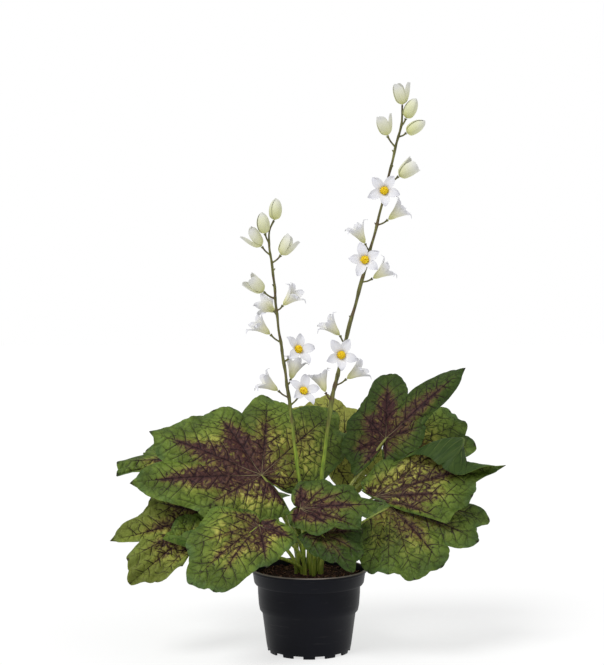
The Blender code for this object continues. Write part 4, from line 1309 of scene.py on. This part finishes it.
def potFinish():
    look = {
        "black": rgb(6, 7, 12), "grey": rgb(15, 16, 24), "scuff": rgb(70, 68, 68),
        # lip: painted highlight colour along the rim's top edge
        "lip": rgb(150, 140, 132),
    }
    finish = Finish("potPlastic", roughness=0.36, specular=0.1)
    spot = finish.spot()
    height = finish.parts(spot)[2]
    cloud = finish.noise(spot, 25, 3)
    grain = finish.noise(spot, 700, 2)
    scuff = finish.noise(spot.stretched((40, 40, 420)), 1.0, 4)
    colour = finish.mix(look["black"], look["grey"], cloud)
    colour = finish.mix(colour, look["scuff"], scuff.step(0.62, 0.75) * 0.15)
    # painted highlight: a pale ring along the top edge of the rim
    colour = finish.mix(colour, look["lip"], height.step(0.0839, 0.0846) * 0.7)
    finish.set("Base Color", colour)
    finish.set("Roughness", 0.36 + cloud * 0.14)
    finish.bump(grain + scuff * 0.4, 0.0002, 0.25)
    return finish.material


# soil: a rough crown with crumbs and fibres

soilForm = {
    "top": 78.0, "hump": 2.0, "radius": 56.6, "rings": 46, "turns": 150, "crumbs": 1500,
    "fibres": 260, "rough": 1.1, "lump": 9, "gap": 0.3, "levels": (71.0, 68.6, 42.5, 39.5, 4.6),
    "moulds": 5, "crumbSize": (0.35, 1.15), "crumbDent": 0.45, "fibreThick": (0.25, 0.5),
    "fibreLong": (2.5, 8), "fibreRoom": 6, "edgeRoom": 1.5,
}


def soilHeight(x, y):
    out = math.hypot(x, y) / soilForm["radius"]
    lumps = noise.fractal(Vector((x, y, 3.0)) / soilForm["lump"], 1.0, 2.0, 4) * soilForm["rough"]
    return soilForm["top"] + soilForm["hump"] * (1 - out * out) + lumps


def makeSoil():
    rng = random.Random(5)
    crown = soilForm["rings"]
    levels = soilForm["levels"]
    bed, ring, turn = gridPiece("soilBed", crown + len(levels) + 1, soilForm["turns"])
    points = []
    for step, side in zip(ring, turn):
        angle = 2 * math.pi * side / soilForm["turns"]
        if step <= crown:
            out = soilForm["radius"] * step / crown
            height = soilHeight(out * math.cos(angle), out * math.sin(angle))
        elif step <= crown + len(levels):
            height = levels[step - crown - 1]
            out = potRadius(height) - potForm["wall"] - soilForm["gap"]
        else:
            height, out = levels[-1], 0.0
        points.append((out * math.cos(angle), out * math.sin(angle), height))
    moveTo(bed, points)
    weld(bed)
    outward(bed)
    pointValues(bed, tint=[0.35 + 0.2 * noise.noise(v.co * 300) for v in bed.data.vertices])
    pieces = [bed, *soilCrumbs(rng), *soilFibres(rng)]
    whole = joined(pieces, "soilTop")
    dress(whole, soilFinish())
    smooth(whole, 50)
    place(whole, "soil")
    print("soil made")


def soilSpot(rng, room=soilForm["edgeRoom"]):
    out = (soilForm["radius"] - room) * math.sqrt(rng.random())
    turn = rng.uniform(0, 2 * math.pi)
    x, y = out * math.cos(turn), out * math.sin(turn)
    return Vector((x, y, soilHeight(x, y)))


def strewn(mould, name, spot, turned, tint):
    # a copy of a mould with its own mesh, at a spot in millimetres
    mesh = mould.data.copy()
    mesh.transform(Matrix.Translation(spot * mm) @ turned)
    copy = bpy.data.objects.new(name, mesh)
    bpy.context.collection.objects.link(copy)
    pointValues(copy, tint=tint)
    return copy


def soilCrumbs(rng):
    # a few crumb shapes, copied
    moulds = []
    for number in range(soilForm["moulds"]):
        mould = added(bpy.ops.mesh.primitive_ico_sphere_add, subdivisions=1 if number else 2, radius=mm)
        for vertex in mould.data.vertices:
            dent = noise.noise(vertex.co * 900 + Vector((number * 7, 0, 0)))
            vertex.co *= 1 + soilForm["crumbDent"] * dent
        moulds.append(mould)
    least, extra = soilForm["crumbSize"]
    crumbs = []
    for number in range(soilForm["crumbs"]):
        size = least + extra * rng.random() ** 3
        turn = Matrix.Rotation(rng.uniform(0, 6.28), 4, Vector((rng.random(), rng.random(), 0.4)))
        squash = Matrix.Diagonal((size * rng.uniform(0.7, 1.5), size, size * rng.uniform(0.4, 0.9), 1))
        spot = soilSpot(rng)
        mould = moulds[number % len(moulds)]
        crumbs.append(strewn(mould, "soilCrumb", spot, turn @ squash, rng.random()))
    for mould in moulds:
        bpy.data.objects.remove(mould, do_unlink=True)
    return crumbs


def soilFibres(rng):
    mould = added(bpy.ops.mesh.primitive_cube_add, size=1, scale=(mm, mm, mm))
    settle(mould)
    fibres = []
    for _ in range(soilForm["fibres"]):
        thick = rng.uniform(*soilForm["fibreThick"])
        stretch = Matrix.Diagonal((rng.uniform(*soilForm["fibreLong"]), thick, thick * 0.7, 1))
        turn = Matrix.Rotation(rng.uniform(0, 6.28), 4, "Z") @ Matrix.Rotation(rng.uniform(-0.4, 0.4), 4, "Y")
        spot = soilSpot(rng, soilForm["fibreRoom"]) + Vector((0, 0, 0.4))
        fibres.append(strewn(mould, "soilFibre", spot, turn @ stretch, 1.0 + rng.random()))
    bpy.data.objects.remove(mould, do_unlink=True)
    return fibres


def soilFinish():
    look = [
        (0.0, rgb(28, 16, 15)), (0.3, rgb(60, 38, 33)), (0.5, rgb(104, 70, 60)),
        (1.0, rgb(170, 130, 108))]
    finish = Finish("peat", roughness=0.95, specular=0.15)
    tint = finish.attribute("tint")
    grain = finish.noise(finish.spot(), 800, 4)
    shade = tint * 0.5 + (grain - 0.5) * 0.35
    colour = finish.add("ShaderNodeValToRGB", {"stops": look}, {"Fac": shade})
    finish.set("Base Color", colour)
    finish.bump(grain, 0.0006, 0.6)
    return finish.material


# studio: a pale glowing floor, a white surround, a broad soft lamp from the upper left and a
# faint one from the right

studio = {
    "floor": 60.0, "paper": 0.34, "glow": 0.66, "surround": 0.54, "backdrop": 1.0,
    "key": {"power": 1.9, "width": 26, "tilt": 38, "turn": -42},
    "fill": {"power": 0.3, "width": 60, "tilt": 60, "turn": 60},
}


def softLamp(name, look):
    # turn 0 shines from the front, tilt 0 straight down
    lamp = added(bpy.ops.object.light_add, type="SUN", location=(0, 0, 1.5))
    lamp.name = name
    lamp.data.energy = look["power"]
    lamp.data.angle = math.radians(look["width"])
    lamp.rotation_euler = (math.radians(look["tilt"]), 0, math.radians(look["turn"]))


def makeStudio():
    floor = added(bpy.ops.mesh.primitive_plane_add, size=studio["floor"])
    floor.name = "studioFloor"
    paper = Finish("floorPaper", roughness=0.9, specular=0.1)
    paper.set("Base Color", (studio["paper"], studio["paper"], studio["paper"], 1))
    paper.set("Emission Color", (1, 1, 1, 1))
    paper.set("Emission Strength", studio["glow"])
    dress(floor, paper.material)
    world = bpy.data.worlds.new("studioSurround")
    world.use_nodes = True
    background = world.node_tree.nodes["Background"]
    background.inputs["Color"].default_value = (1, 1, 1, 1)
    seen = world.node_tree.nodes.new("ShaderNodeLightPath")
    power = world.node_tree.nodes.new("ShaderNodeMapRange")
    power.inputs["To Min"].default_value = studio["surround"]
    power.inputs["To Max"].default_value = studio["backdrop"]
    world.node_tree.links.new(seen.outputs["Is Camera Ray"], power.inputs["Value"])
    world.node_tree.links.new(power.outputs["Result"], background.inputs["Strength"])
    bpy.context.scene.world = world
    bpy.context.scene.view_settings.view_transform = "Standard"
    softLamp("keyLamp", studio["key"])
    softLamp("fillLamp", studio["fill"])
    print("studio made")


makeCamera()
makeStudio()
makePot()
makeSoil()
makeLeaves()
makeStems()
makeBlooms()
